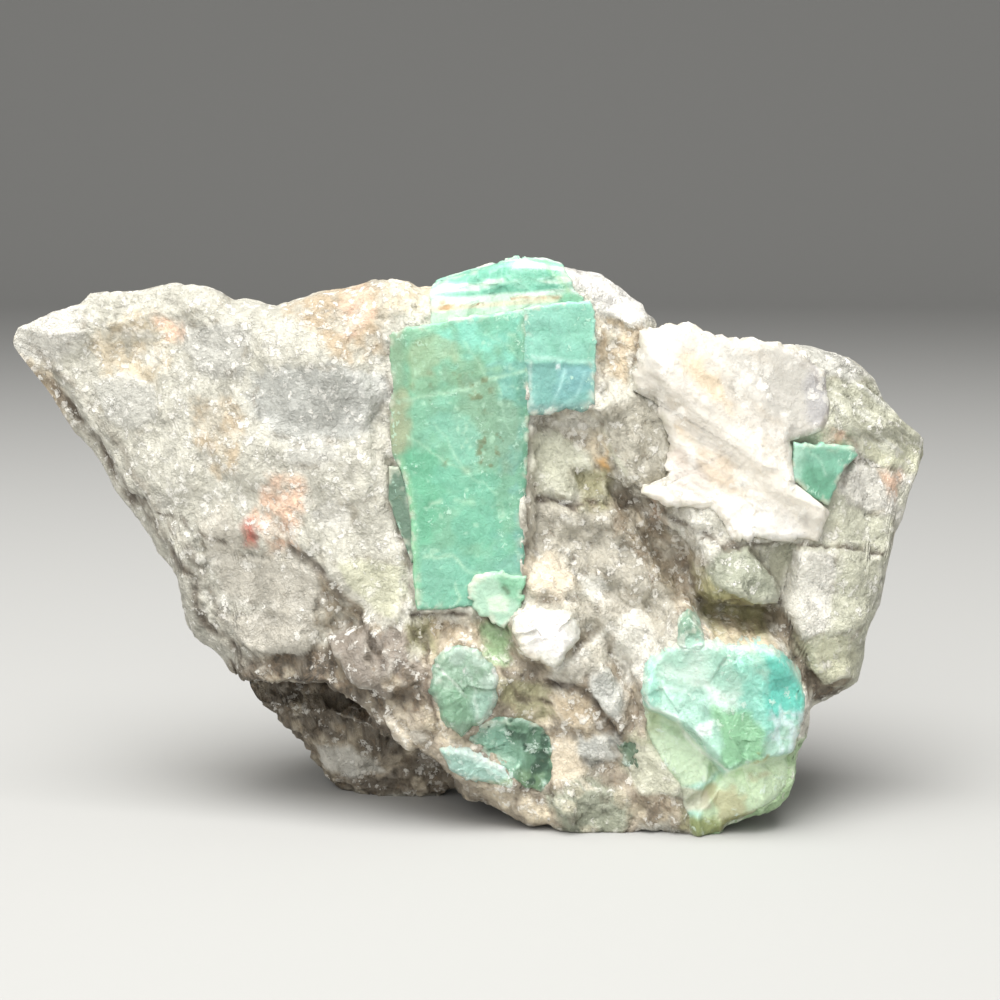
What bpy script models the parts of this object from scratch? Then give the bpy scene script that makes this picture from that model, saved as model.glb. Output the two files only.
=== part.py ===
"""Emerald in matrix: a broken lump of quartz and feldspar rock that holds pale emerald crystals.

The rock is one closed skin, lofted through sections across its width. Every
section is worked out from five curves (top edge, bottom edge, front face, back
face and the depth of the two edges), and the front carries ledges, lumps and
pits, each given as an outline and a level. The crystals are flat-faced blocks.
Lengths in the tables are millimetres, and MM turns them into metres.
"""

import bpy
import bmesh
import numpy as np
from mathutils import Vector

MM = 0.001
SEAM = 0.15  # a pocket is this much larger than its crystal on every side, times about two
STATIONS = 190  # sections across the width, before the skin is thinned out
RING = 150  # points round one section
NEAR_SIDE = -26.0  # a depth in front of everything
KEEP = 0.125  # share of the skin's triangles that stay

# The two edges of the body as seen from the front, left tip to right tip: x, z.
TOP_EDGE = [
    (-39.5, 39.4), (-39.0, 40.7), (-37.0, 41.5), (-35.6, 42.2), (-33.5, 42.7), (-32.4, 43.7),
    (-30.2, 44.0), (-28.5, 44.0), (-26.7, 44.5), (-24.7, 44.6), (-22.4, 44.4), (-21.3, 44.0),
    (-20.0, 43.4), (-18.1, 43.5), (-16.0, 43.2), (-14.3, 43.8), (-12.1, 44.3), (-10.4, 44.7),
    (-8.1, 45.6), (-6.6, 45.6), (-4.9, 45.3), (-4.2, 44.7), (-2.7, 44.6), (-1.5, 45.2),
    (0.2, 45.7), (2.3, 46.3), (3.2, 46.6), (4.9, 46.8), (6.6, 46.6), (7.8, 46.3),
    (9.5, 46.0), (11.8, 45.5), (13.1, 44.4), (14.6, 43.4), (15.5, 42.2), (16.2, 41.3),
    (18.9, 41.1), (19.8, 40.9), (22.1, 40.1), (25.0, 39.7), (28.4, 39.4), (30.3, 39.0),
    (32.4, 38.5), (33.4, 37.8), (34.8, 36.5), (35.5, 34.8), (37.1, 33.0), (39.0, 31.6), (39.4, 30.9),
]  # fmt: skip
BOTTOM_EDGE = [
    (-39.5, 39.2), (-38.9, 38.3), (-37.6, 36.6), (-36.7, 35.5), (-35.3, 33.6), (-34.1, 31.8),
    (-32.4, 30.1), (-31.6, 28.8), (-30.3, 26.6), (-29.0, 24.9), (-27.7, 23.3), (-26.5, 21.4),
    (-24.8, 19.6), (-24.3, 17.7), (-23.9, 15.6), (-23.1, 14.1), (-21.4, 13.0), (-20.5, 12.1),
    (-19.5, 10.9), (-19.1, 8.9), (-18.2, 7.5), (-16.3, 5.9), (-14.7, 4.4), (-13.7, 2.9),
    (-12.3, 1.1), (-11.0, 0.3), (-8.8, -0.3), (-7.5, -0.6), (-4.4, -0.6), (-2.6, -0.3),
    (-0.9, 1.7), (1.9, 1.7), (3.6, 1.0), (5.3, 0.2), (6.7, 0.5), (7.7, -0.1),
    (9.0, -0.5), (12.8, -0.5), (14.3, 0.3), (16.4, 0.0), (18.5, -0.3), (20.6, -0.3),
    (21.2, 0.5), (23.5, 1.4), (25.6, 1.8), (26.4, 2.7), (26.9, 5.2), (27.7, 6.4),
    (28.1, 8.1), (28.6, 8.9), (30.6, 9.6), (32.2, 10.2), (33.0, 10.9), (33.3, 12.4),
    (33.6, 14.7), (34.3, 15.9), (35.1, 17.2), (35.4, 18.9), (35.7, 21.0), (36.0, 21.7),
    (36.2, 22.8), (37.2, 24.5), (37.7, 26.3), (38.7, 28.6), (39.2, 29.7), (39.4, 30.7),
]  # fmt: skip
# Depths against x. The viewer stands on the low-y side.
TOP_DEPTH = [(-39.5, 3), (-30, 1.5), (-14, 0), (-3, -1), (9, -1), (20, 0), (32, 1), (39.4, 2)]
BOTTOM_DEPTH = [
    (-39.5, 3), (-30, 2), (-19, 2), (-13, 3), (-3, 3), (0, -6), (6, -10), (12, -11),
    (24, -10), (27, -8), (28.5, -2), (33, 0), (39.4, 2),
]  # fmt: skip
FRONT_DEPTH = [
    (-39.5, 0.8), (-36, -1.2), (-30, -3.2), (-18, -7), (-6, -9.5), (5, -10), (14, -9.5), (24, -9.5),
    (32, -6), (37, -2.4), (39.4, 0.2),
]  # fmt: skip
BACK_DEPTH = [
    (-39.5, 5.0), (-36, 8.4), (-30, 11), (-18, 15), (-4, 17.5), (8, 18), (20, 17), (30, 12.5), (37, 8), (39.4, 4.6),
]  # fmt: skip
MIDDLE_HEIGHT = 24.0
FRONT_LEAN = 0.17  # the front face leans back this much per unit of height
BACK_LEAN = -0.20

# Ledges, lumps and pits of the front: outline in x, z, then its level behind the
# plain front face (a negative level stands proud), then the width of its edge.
TERRACES = [
    ("set-back foot", [(-27, -3), (-27, 8.8), (-14.7, 8.6), (-8.8, 7.6), (-3.2, 5.4), (-1.0, 3.5), (-0.6, -3)], 10.5, 2.6),
    ("cavity over the foot", [(-20.5, 11.0), (-11.9, 11.4), (-8.8, 9.8), (-5.8, 8.9), (-3.2, 6.1), (-5.8, 5.9), (-11.9, 7.6), (-19.5, 8.3)], 13.0, 1.9),
    ("wedge lower tier", [(-26.5, 20.6), (-23.0, 20.4), (-19.1, 22.5), (-14.6, 22.2), (-10.1, 18.4), (-6.8, 14.0), (-4.6, 11.0), (-7.0, 9.6), (-11.4, 12.0), (-18.2, 11.8), (-24.1, 13.0)], 1.9, 1.2),
    ("grey lump", [(-26, 20.6), (-17.0, 21.6), (-13.2, 19.9), (-12.0, 17.0), (-14.5, 14.2), (-19.4, 13.6), (-26, 15.0)], 0.7, 1.8),
    ("nodules", [(-11.4, 15.2), (-8.3, 17.0), (-4.8, 15.6), (-3.6, 12.6), (-5.8, 11.2), (-9.6, 12.4)], -0.6, 1.6),
    ("wedge left edge", [(-40, 39.6), (-36.4, 37.8), (-31.6, 31.4), (-27.4, 25.0), (-24.6, 20.8), (-30, 18), (-42, 36)], 1.3, 1.6),
    ("wedge middle face", [(-24.5, 43.4), (-12.0, 43.0), (-7.6, 36.0), (-8.0, 27.0), (-15.0, 25.0), (-22.0, 31.0)], -0.5, 1.4),
    ("side of the big crystal", [(5.6, 34.0), (11.0, 34.0), (16.7, 29.5), (19.3, 22.0), (18.5, 17.5), (14.3, 17.1), (9.5, 20.2), (5.2, 21.2)], 2.6, 1.1),
    ("grey-green lump", [(11.6, 34.8), (15.2, 35.2), (16.6, 31.6), (16.4, 28.6), (13.4, 27.8), (11.2, 30.3)], 0.5, 1.8),
    ("grain by the crystal", [(6.0, 32.4), (9.8, 32.6), (11.0, 29.8), (9.4, 27.2), (6.2, 28.0)], 1.2, 1.6),
    ("grain below it", [(12.6, 24.6), (15.6, 23.8), (16.6, 20.4), (13.4, 19.0), (10.6, 21.6)], 1.0, 1.8),
    ("tan strip", [(9.2, 44.6), (12.6, 43.6), (14.0, 41.4), (13.4, 35.6), (11.2, 35.2), (11.2, 41.0)], 1.4, 1.1),
    ("top white feldspar", [(7.4, 45.6), (12.2, 45.4), (15.6, 42.2), (13.6, 41.4), (8.6, 43.6)], 0.1, 1.1),
    ("crevice", [(12.1, 27.9), (14.9, 26.9), (18.0, 23.4), (20.0, 19.4), (19.6, 16.8), (17.8, 17.6), (16.8, 20.6), (14.2, 24.0)], 4.2, 1.1),
    ("strip beside the knob", [(23.1, 23.4), (26.7, 23.2), (27.6, 22.6), (26.4, 17.8), (28.9, 12.8), (27.9, 10.0), (25.0, 15.6), (24.6, 18.2), (25.3, 19.6)], 1.2, 1.0),
    ("quartz knob", [(19.1, 22.2), (20.4, 23.5), (22.9, 23.5), (24.5, 21.5), (25.3, 19.8), (24.6, 18.4), (22.3, 19.1), (19.2, 19.2)], -1.4, 1.4),
    ("right lower block", [(27.4, 23.2), (35.8, 22.4), (35.6, 18.1), (34.4, 15.0), (33.6, 10.0), (31.0, 11.6), (28.6, 12.8), (27.0, 18.0)], -0.9, 1.1),
    ("pit under the knob", [(19.3, 18.0), (21.2, 18.5), (24.2, 18.1), (25.7, 17.2), (25.6, 15.9), (22.5, 16.3), (19.6, 16.6)], 5.5, 0.9),
    ("ledge under the big crystal", [(-4.4, 17.8), (3.2, 17.6), (3.0, 14.8), (-3.2, 15.6)], 0.6, 1.1),
    ("quartz under the ridge", [(13.6, 11.4), (15.0, 10.4), (19.4, 7.6), (20.2, 4.6), (18.4, 3.0), (18.4, -3), (13.6, -3)], -1.9, 1.6),
    ("lower-right swelling", [(13.8, 12.0), (14.6, 14.6), (16.4, 16.6), (17.0, 18.2), (18.0, 18.8), (19.2, 17.4), (20.4, 16.6), (24.9, 16.2), (26.2, 14.6), (28.0, 11.6), (28.6, 6.4), (26.0, 6.2), (21.0, 5.4), (18.8, 8.0), (17.2, 9.4), (14.6, 10.6)], -3.4, 1.5),
    ("foot of the swelling", [(20.6, 5.6), (26.0, 6.8), (28.6, 6.8), (28.6, -3), (18.0, -3), (18.2, 2.4), (19.6, 4.0)], -2.3, 1.3),
    ("diagonal grains", [(4.0, 15.4), (8.0, 13.6), (12.6, 7.2), (14.2, 9.6), (9.4, 18.0), (6.0, 20.0)], -0.8, 1.4),
    ("groove beside them", [(9.6, 15.6), (12.9, 12.4), (13.6, 9.2), (14.2, 10.4), (13.4, 14.0), (10.4, 17.4)], 1.2, 0.9),
    ("rounded beryl", [(-3.1, 14.6), (-0.8, 16.1), (1.2, 15.7), (2.7, 14.0), (3.0, 11.4), (1.7, 9.4), (-0.3, 8.2), (-2.3, 9.6), (-3.3, 12.0)], -1.1, 1.8),
    ("pale rim", [(-2.3, 7.6), (0.0, 7.3), (4.2, 5.8), (4.2, 4.0), (2.4, 3.4), (0.6, 3.8), (-1.4, 5.4)], -0.9, 1.0),
    ("quartz grain", [(3.7, 18.2), (5.3, 19.0), (9.1, 18.4), (9.3, 16.2), (7.3, 13.6), (4.7, 14.7), (3.3, 16.8)], -1.6, 0.9),
    ("quartz foot", [(7.2, 3.6), (9.2, 4.6), (12.5, 4.1), (14.4, 2.2), (13.6, -3), (7.0, -3)], -0.9, 1.3),
    ("right edge quartz", [(31.0, 38.0), (34.6, 36.0), (39.0, 31.4), (37.4, 25.0), (33.0, 24.4), (31.4, 27.0), (33.4, 31.0)], 0.2, 1.4),
    ("break in the prism's edge", [(-6.6, 30.4), (-5.4, 29.2), (-4.2, 26.6), (-4.0, 23.6), (-5.2, 24.6), (-6.2, 27.6)], 1.6, 0.8),
]  # fmt: skip

# Flat fracture faces of the back: x slope and z slope of the face, and its depth at x 0, z 24.
BACK_BREAKS = [
    (0.42, -0.10, 18.8), (-0.36, 0.22, 18.6), (0.05, -0.50, 18.0), (-0.16, 0.50, 20.5), (0.95, 0.10, 31.0),
    (-0.95, -0.30, 41.0),
]  # fmt: skip

# Where the underside stands on the ground, behind the front edge: x, y, radius.
REAR_FEET = [(13.0, 6.0, 6.5), (-8.0, 3.5, 5.0)]
UNDERSIDE_RISE = 2.6
FOOT_CUT = 0.3  # the feet are cut flat at this height, and stand on that face


def curve(table, x):
    xs, ys = zip(*table)
    return np.interp(x, xs, ys)


def clear_scene():
    for obj in list(bpy.data.objects):
        bpy.data.objects.remove(obj, do_unlink=True)


def collection(name, hidden=False):
    made = bpy.data.collections.new(name)
    made.hide_render = hidden
    bpy.context.scene.collection.children.link(made)
    return made


def stone(name, colour, roughness):
    made = bpy.data.materials.new(name)
    made.use_nodes = True
    shader = made.node_tree.nodes["Principled BSDF"]
    shader.inputs["Base Color"].default_value = (*colour, 1.0)
    shader.inputs["Roughness"].default_value = roughness
    made.diffuse_color = (*colour, 1.0)
    return made


def corner_value(i, j, seed):
    """A fixed value from -1 to 1 for each corner of a lattice."""
    mixed = np.sin(i * 127.1 + j * 311.7 + seed * 74.7) * 43758.5453
    return 2.0 * (mixed - np.floor(mixed)) - 1.0


def facets(x, z, cell, seed):
    """Flat triangles that join the values of a triangular lattice, turned and bent by its seed, from -1 to 1."""
    turn = 0.9 * seed
    x, z = x * np.cos(turn) - z * np.sin(turn), x * np.sin(turn) + z * np.cos(turn)
    x, z = x + 0.22 * cell * np.sin(2.3 * z / cell), z + 0.22 * cell * np.sin(1.9 * x / cell)
    u, v = x / cell + z / cell * 0.5774, z / cell * 1.1547
    i, j = np.floor(u), np.floor(v)
    a, b = u - i, v - j
    upper = (a + b > 1.0).astype(float)
    near = corner_value(i + upper, j + upper, seed)
    wa, wb = np.where(upper > 0, 1 - a, a), np.where(upper > 0, 1 - b, b)
    along = np.where(upper > 0, corner_value(i, j + 1, seed), corner_value(i + 1, j, seed))
    across = np.where(upper > 0, corner_value(i + 1, j, seed), corner_value(i, j + 1, seed))
    return near * (1 - wa - wb) + along * wa + across * wb


def inside_distance(x, z, outline):
    """How far each point is inside a closed outline, negative outside."""
    nearest = np.full(np.shape(x), 1e9)
    crossings = np.zeros(np.shape(x), int)
    for (x0, z0), (x1, z1) in zip(outline, outline[1:] + outline[:1]):
        dx, dz = x1 - x0, z1 - z0
        t = np.clip(((x - x0) * dx + (z - z0) * dz) / (dx * dx + dz * dz), 0, 1)
        nearest = np.minimum(nearest, np.hypot(x - x0 - t * dx, z - z0 - t * dz))
        if dz:
            crossings += ((z0 > z) != (z1 > z)) & (x < x0 + (z - z0) * dx / dz)
    return np.where(crossings % 2, nearest, -nearest)


def plain_front(x, z):
    return curve(FRONT_DEPTH, x) + FRONT_LEAN * (z - MIDDLE_HEIGHT)


def front_face(x, z):
    """Depth of the front: the plain face, its terraces in order, and broken facets."""
    level = np.zeros(np.shape(x))
    for _, outline, depth, edge in TERRACES:
        t = np.clip(inside_distance(x, z, outline) / edge + 0.5, 0, 1)
        t = t * t * (3 - 2 * t)
        level = level * (1 - t) + depth * t
    return plain_front(x, z) + level + 0.85 * facets(x, z, 6.0, 3) + 0.45 * facets(x, z, 2.6, 8)


def back_face(x, z):
    """Depth of the back: a swelling cut by flat breaks, and broken facets."""
    depth = curve(BACK_DEPTH, x) + BACK_LEAN * (z - MIDDLE_HEIGHT) + 1.5 * facets(x, z, 9.5, 21)
    for slope_x, slope_z, at in BACK_BREAKS:
        depth = np.minimum(depth, at + slope_x * x + slope_z * (z - MIDDLE_HEIGHT))
    return depth + 0.6 * facets(x, z, 4.2, 25)


def softened(values):
    """Each value blended with its neighbours along both directions of the grid."""
    values = (np.roll(values, 1, 1) + 2 * values + np.roll(values, -1, 1)) / 4
    inner = (values[:-2] + 2 * values[1:-1] + values[2:]) / 4
    return np.concatenate([values[:1], inner, values[-1:]])


def skin_points():
    """All sections of the body at once: an array of stations by ring points by 3."""
    x = np.linspace(-39.5, 39.4, STATIONS)[1:-1, None]
    half = RING // 2
    rise = 0.5 - 0.5 * np.cos(np.pi * (np.arange(half) + 0.5) / half)
    up = np.concatenate([rise, rise[::-1]])[None, :]
    front = np.arange(RING)[None, :] < half
    low, high = curve(BOTTOM_EDGE, x), curve(TOP_EDGE, x)
    z = low + (high - low) * up
    x = x + 0 * up
    edge = curve(BOTTOM_DEPTH, x) * (1 - up) + curve(TOP_DEPTH, x) * up
    square = np.where(up > 0.5, 8.0, 4.6)  # how sharply the front turns into the top and the underside
    out_front = (1 - np.abs(2 * up - 1) ** square) ** (1 / square)
    out_back = (1 - np.abs(2 * up - 1) ** 4.0) ** (1 / 4.0)
    y = np.where(
        front,
        edge + (np.minimum(front_face(x, z), edge - 0.05) - edge) * out_front,
        edge + (np.maximum(back_face(x, z), edge + 0.05) - edge) * out_back,
    )
    y = softened(y)
    away = np.clip(np.abs(y - edge) / 5.0, 0, 1)
    # The top falls away in broken steps in front of and behind its edge.
    high_up = np.clip(1 - (high - z) / 6.0, 0, 1) ** 2
    z = z - high_up * away * np.minimum(1.6, 0.2 * (high - low)) * (0.75 + 0.75 * facets(x, y, 5.0, 33))
    # The underside is hollowed, and a foot is left here and there.
    lift = UNDERSIDE_RISE * (1 + 0.5 * facets(x, y, 5.5, 41))
    low_down = np.clip(1 - (z - low) / 9.0, 0, 1)
    z = z + lift * low_down * np.clip((y - edge) / 5.0, 0, 1)
    for foot_x, foot_y, radius in REAR_FEET:
        near = np.hypot(x - foot_x, y - foot_y) / radius
        z = z * (1 - np.clip(1.8 - 1.6 * near, 0, 1) * np.clip((9 - z) / 3, 0, 1))
    z = np.where((z < 0) | ((z < 0.35) & (low < 0)), 0.0, z)
    return np.stack(np.broadcast_arrays(x, y, z), axis=-1)


def loft(name, rings, tips):
    """A closed skin through rings of equal length, with one point at each end."""
    stations, ring = rings.shape[:2]
    mesh = bmesh.new()
    rows = [[mesh.verts.new(Vector(p) * MM) for p in row] for row in rings.tolist()]
    ends = [mesh.verts.new(Vector(tip) * MM) for tip in tips]
    for one, two in zip(rows, rows[1:]):
        for k in range(ring):
            mesh.faces.new((one[k], one[k - 1], two[k - 1], two[k]))
    for k in range(ring):
        mesh.faces.new((rows[0][k - 1], rows[0][k], ends[0]))
        mesh.faces.new((rows[-1][k], rows[-1][k - 1], ends[1]))
    bmesh.ops.recalc_face_normals(mesh, faces=mesh.faces)
    data = bpy.data.meshes.new(name)
    mesh.to_mesh(data)
    mesh.free()
    return data


def hull(name, corners, grow=0.0):
    """A flat-faced block round the corners, with each face moved out by the growth."""
    steps = (-grow, grow) if grow else (0.0,)
    mesh = bmesh.new()
    for corner in corners:
        for a in steps:
            for b in steps:
                for c in steps:
                    mesh.verts.new((Vector(corner) + Vector((a, b, c))) * MM)
    made = bmesh.ops.convex_hull(mesh, input=mesh.verts)
    spare = {v for v in made["geom_interior"] + made["geom_unused"] if isinstance(v, bmesh.types.BMVert)}
    bmesh.ops.delete(mesh, geom=list(spare), context="VERTS")
    bmesh.ops.dissolve_limit(mesh, angle_limit=0.002, verts=mesh.verts, edges=mesh.edges)
    bmesh.ops.recalc_face_normals(mesh, faces=mesh.faces)
    data = bpy.data.meshes.new(name)
    mesh.to_mesh(data)
    mesh.free()
    return data


def grown(outline, grow):
    """The closed outline with every side moved out by the growth."""
    sides = list(zip(outline, outline[1:] + outline[:1]))
    turn = np.sign(sum(x0 * z1 - x1 * z0 for (x0, z0), (x1, z1) in sides))
    outward = [Vector((z1 - z0, x0 - x1)).normalized() * turn for (x0, z0), (x1, z1) in sides]
    moved = []
    for corner, before, after in zip(outline, outward[-1:] + outward[:-1], outward):
        mitre = (before + after) / max(1.0 + before.dot(after), 0.35)
        moved.append(tuple(Vector(corner) + mitre * grow))
    return moved


def slab(name, outline, level, depth, slopes=(0.0, 0.0), grow=0.0, reach=0.0):
    """A slab whose flat front follows the plain front face at a level, with slopes of its own. Reach moves it out."""
    points = np.array(outline)
    grid = np.column_stack([points, np.ones(len(points))])
    own = (points - points.mean(axis=0)) @ np.array(slopes)
    slope = np.linalg.lstsq(grid, plain_front(points[:, 0], points[:, 1]) + level + own, rcond=None)[0]
    mesh = bmesh.new()
    corners = [(x, float(np.dot((x, z, 1.0), slope)) - grow - reach, z) for x, z in grown(outline, grow)]
    face = mesh.faces.new([mesh.verts.new(Vector(corner) * MM) for corner in corners])
    made = bmesh.ops.extrude_face_region(mesh, geom=[face])
    moved = [v for v in made["geom"] if isinstance(v, bmesh.types.BMVert)]
    bmesh.ops.translate(mesh, verts=moved, vec=Vector((0, depth + 2 * grow + reach, 0)) * MM)
    bmesh.ops.recalc_face_normals(mesh, faces=mesh.faces)
    data = bpy.data.meshes.new(name)
    mesh.to_mesh(data)
    mesh.free()
    return data


def straight_block(name, outline, near, far, grow=0.0):
    """A block with the outline for its section, from the near depth to a sloping far end (depth, x slope, z slope)."""
    mesh = bmesh.new()
    face = mesh.faces.new([mesh.verts.new(Vector((x, near - grow, z)) * MM) for x, z in grown(outline, grow)])
    made = bmesh.ops.extrude_face_region(mesh, geom=[face])
    depth, along, upward = far
    for v in made["geom"]:
        if isinstance(v, bmesh.types.BMVert):
            v.co.y = (depth + grow) * MM + along * v.co.x + upward * v.co.z
    bmesh.ops.recalc_face_normals(mesh, faces=mesh.faces)
    data = bpy.data.meshes.new(name)
    mesh.to_mesh(data)
    mesh.free()
    return data


def add(name, data, where, material=None):
    obj = bpy.data.objects.new(name, data)
    where.objects.link(obj)
    if material:
        data.materials.append(material)
    else:
        obj.display_type = "WIRE"
        obj.hide_render = True
    return obj


def boolean(obj, operation, other):
    made = obj.modifiers.new(operation.title(), "BOOLEAN")
    made.operation = operation
    made.solver = "EXACT"
    made.object = other


def settled(obj):
    """The object's mesh with its modifiers carried out."""
    graph = bpy.context.evaluated_depsgraph_get()
    return bpy.data.meshes.new_from_object(obj.evaluated_get(graph))


def block(outline, front_level, depth, lean=0.0):
    """Corners of a block: the outline on the plain front face at a level, and again deeper in."""
    near = [(x, float(plain_front(x, z)) + front_level, z) for x, z in outline]
    far = [(x, y + depth, z + lean * depth) for x, y, z in near]
    return near + far


# Flat-faced crystals that stand in pockets: name, colour, corners.
PRISM = [
    (-4.5, -7.5, 41.0), (5.15, -7.7, 42.4), (-4.2, -11.4, 18.1), (4.55, -11.6, 19.3),
    (-6.5, -5.6, 40.8), (-6.2, -7.8, 29.6), (-4.6, -10.0, 23.8),
    (-6.5, -1.0, 41.2), (-4.8, -5.0, 18.4), (5.15, -0.6, 42.6), (4.6, -4.6, 19.4),
    (-3.6, 1.2, 41.4), (-3.0, -3.0, 18.8), (3.8, 1.2, 42.2), (3.4, -3.0, 19.2),
]  # fmt: skip
PRISM_BREAK = [
    (-7.5, -13, 31.0), (-5.9, -13, 30.2), (-4.2, -13, 26.0), (-4.0, -13, 23.0), (-7.5, -13, 23.0),
    (-7.5, -6.6, 31.0), (-6.4, -7.0, 30.0), (-5.4, -8.4, 26.6), (-4.8, -9.8, 23.4), (-7.5, -9.0, 23.0),
]  # fmt: skip
SIDE = block([(5.6, 42.5), (10.0, 43.5), (10.8, 41.6), (10.9, 35.2), (10.4, 34.3), (7.8, 33.8), (5.5, 34.4)], -0.8, 6.0, 0.1)
CHIP = block([(0.0, 20.2), (1.6, 21.0), (3.0, 21.4), (4.9, 20.8), (4.7, 18.6), (3.2, 17.2), (1.0, 17.8)], -0.9, 3.5)
SMALL_RIGHT = block([(27.0, 31.7), (32.6, 30.9), (31.2, 28.4), (30.0, 26.8), (26.8, 28.6)], -1.3, 4.5)

# The feldspar block is cleaved slabs, one on another: outline in x, z, then level, then its slopes along x and z.
FELDSPAR_SLABS = [
    ([(14.2, 40.9), (16.0, 41.4), (18.3, 41.4), (21.3, 40.4), (27.5, 39.6), (29.7, 37.4), (30.3, 35.1), (30.0, 32.7), (27.9, 32.0), (26.9, 31.9), (26.8, 28.6), (30.1, 26.0), (29.1, 23.7), (21.9, 24.0), (20.2, 26.3), (18.2, 27.3), (16.1, 26.9), (16.5, 32.1), (15.4, 35.5), (13.7, 36.0)], -1.1, 0.02, 0.03),
    ([(14.4, 40.4), (17.0, 40.9), (20.6, 39.0), (24.6, 35.4), (26.4, 33.0), (26.6, 28.9), (29.6, 26.2), (28.9, 24.8), (26.4, 25.6), (23.4, 27.6), (19.9, 29.0), (16.8, 31.8), (15.6, 35.4), (14.2, 36.2)], -2.0, -0.04, -0.06),
    ([(14.9, 39.4), (17.4, 39.7), (21.5, 35.4), (26.0, 29.8), (29.2, 26.8), (28.9, 25.7), (27.4, 26.4), (24.7, 28.3), (19.1, 32.3), (16.0, 35.6), (14.9, 37.7)], -2.9, -0.05, -0.10),
    ([(15.3, 38.7), (17.0, 38.5), (21.0, 34.2), (25.0, 29.9), (24.2, 29.6), (20.0, 32.6), (16.4, 35.9)], -3.7, -0.05, -0.12),
]  # fmt: skip
FELDSPAR_DEPTH = 7.0

# Grains cut out of the rock's own surface: outline in x, z, and how deep the cut goes:
# a depth, then its slopes along x and z.
GRAINS = {
    "beryl_lower_right": ([(14.0, 11.7), (14.1, 13.2), (15.2, 14.8), (16.8, 16.2), (17.2, 17.8), (17.9, 18.5), (18.7, 18.1), (19.2, 16.8), (20.4, 16.4), (24.9, 16.0), (26.2, 14.9), (28.6, 11.6), (28.6, -2), (17.8, -2), (17.6, 2.6), (19.2, 4.1), (21.0, 5.5), (18.8, 8.1), (17.2, 9.5), (14.6, 10.7)], (-8.0, 0.22, -0.25)),
    "beryl_rounded": ([(-2.9, 14.6), (-0.8, 15.9), (1.0, 15.6), (2.5, 14.0), (2.9, 11.4), (1.7, 9.6), (-0.3, 8.4), (-2.1, 9.6), (-3.1, 12.0)], (-7.5, 0.1, 0.0)),
    "beryl_dark": ([(-0.1, 8.0), (1.9, 9.3), (4.4, 9.9), (6.5, 9.4), (7.3, 6.8), (7.2, 4.2), (6.2, 3.4), (4.4, 4.0), (4.3, 6.0), (0.4, 7.4)], (-8.5, 0.0, 0.0)),
    "beryl_pale_rim": ([(-2.1, 7.4), (0.0, 7.1), (4.1, 5.7), (4.0, 4.1), (2.4, 3.6), (0.6, 4.0), (-1.2, 5.4)], (-9.5, 0.0, 0.0)),
    "beryl_speck": ([(12.7, 7.6), (14.1, 8.3), (14.0, 5.7), (13.1, 5.6)], (-10.5, 0.0, 0.0)),
    "quartz_grain": ([(3.7, 18.0), (5.3, 18.8), (8.9, 18.2), (9.1, 16.2), (7.3, 13.8), (4.9, 14.9), (3.5, 16.8)], (-8.8, 0.0, 0.0)),
    "emerald_crown": ([(-2.6, 44.0), (-1.9, 48.0), (7.4, 48.0), (8.5, 44.3), (2.8, 43.6)], (-54.0, 0.3, 1.2)),
}  # fmt: skip


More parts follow.
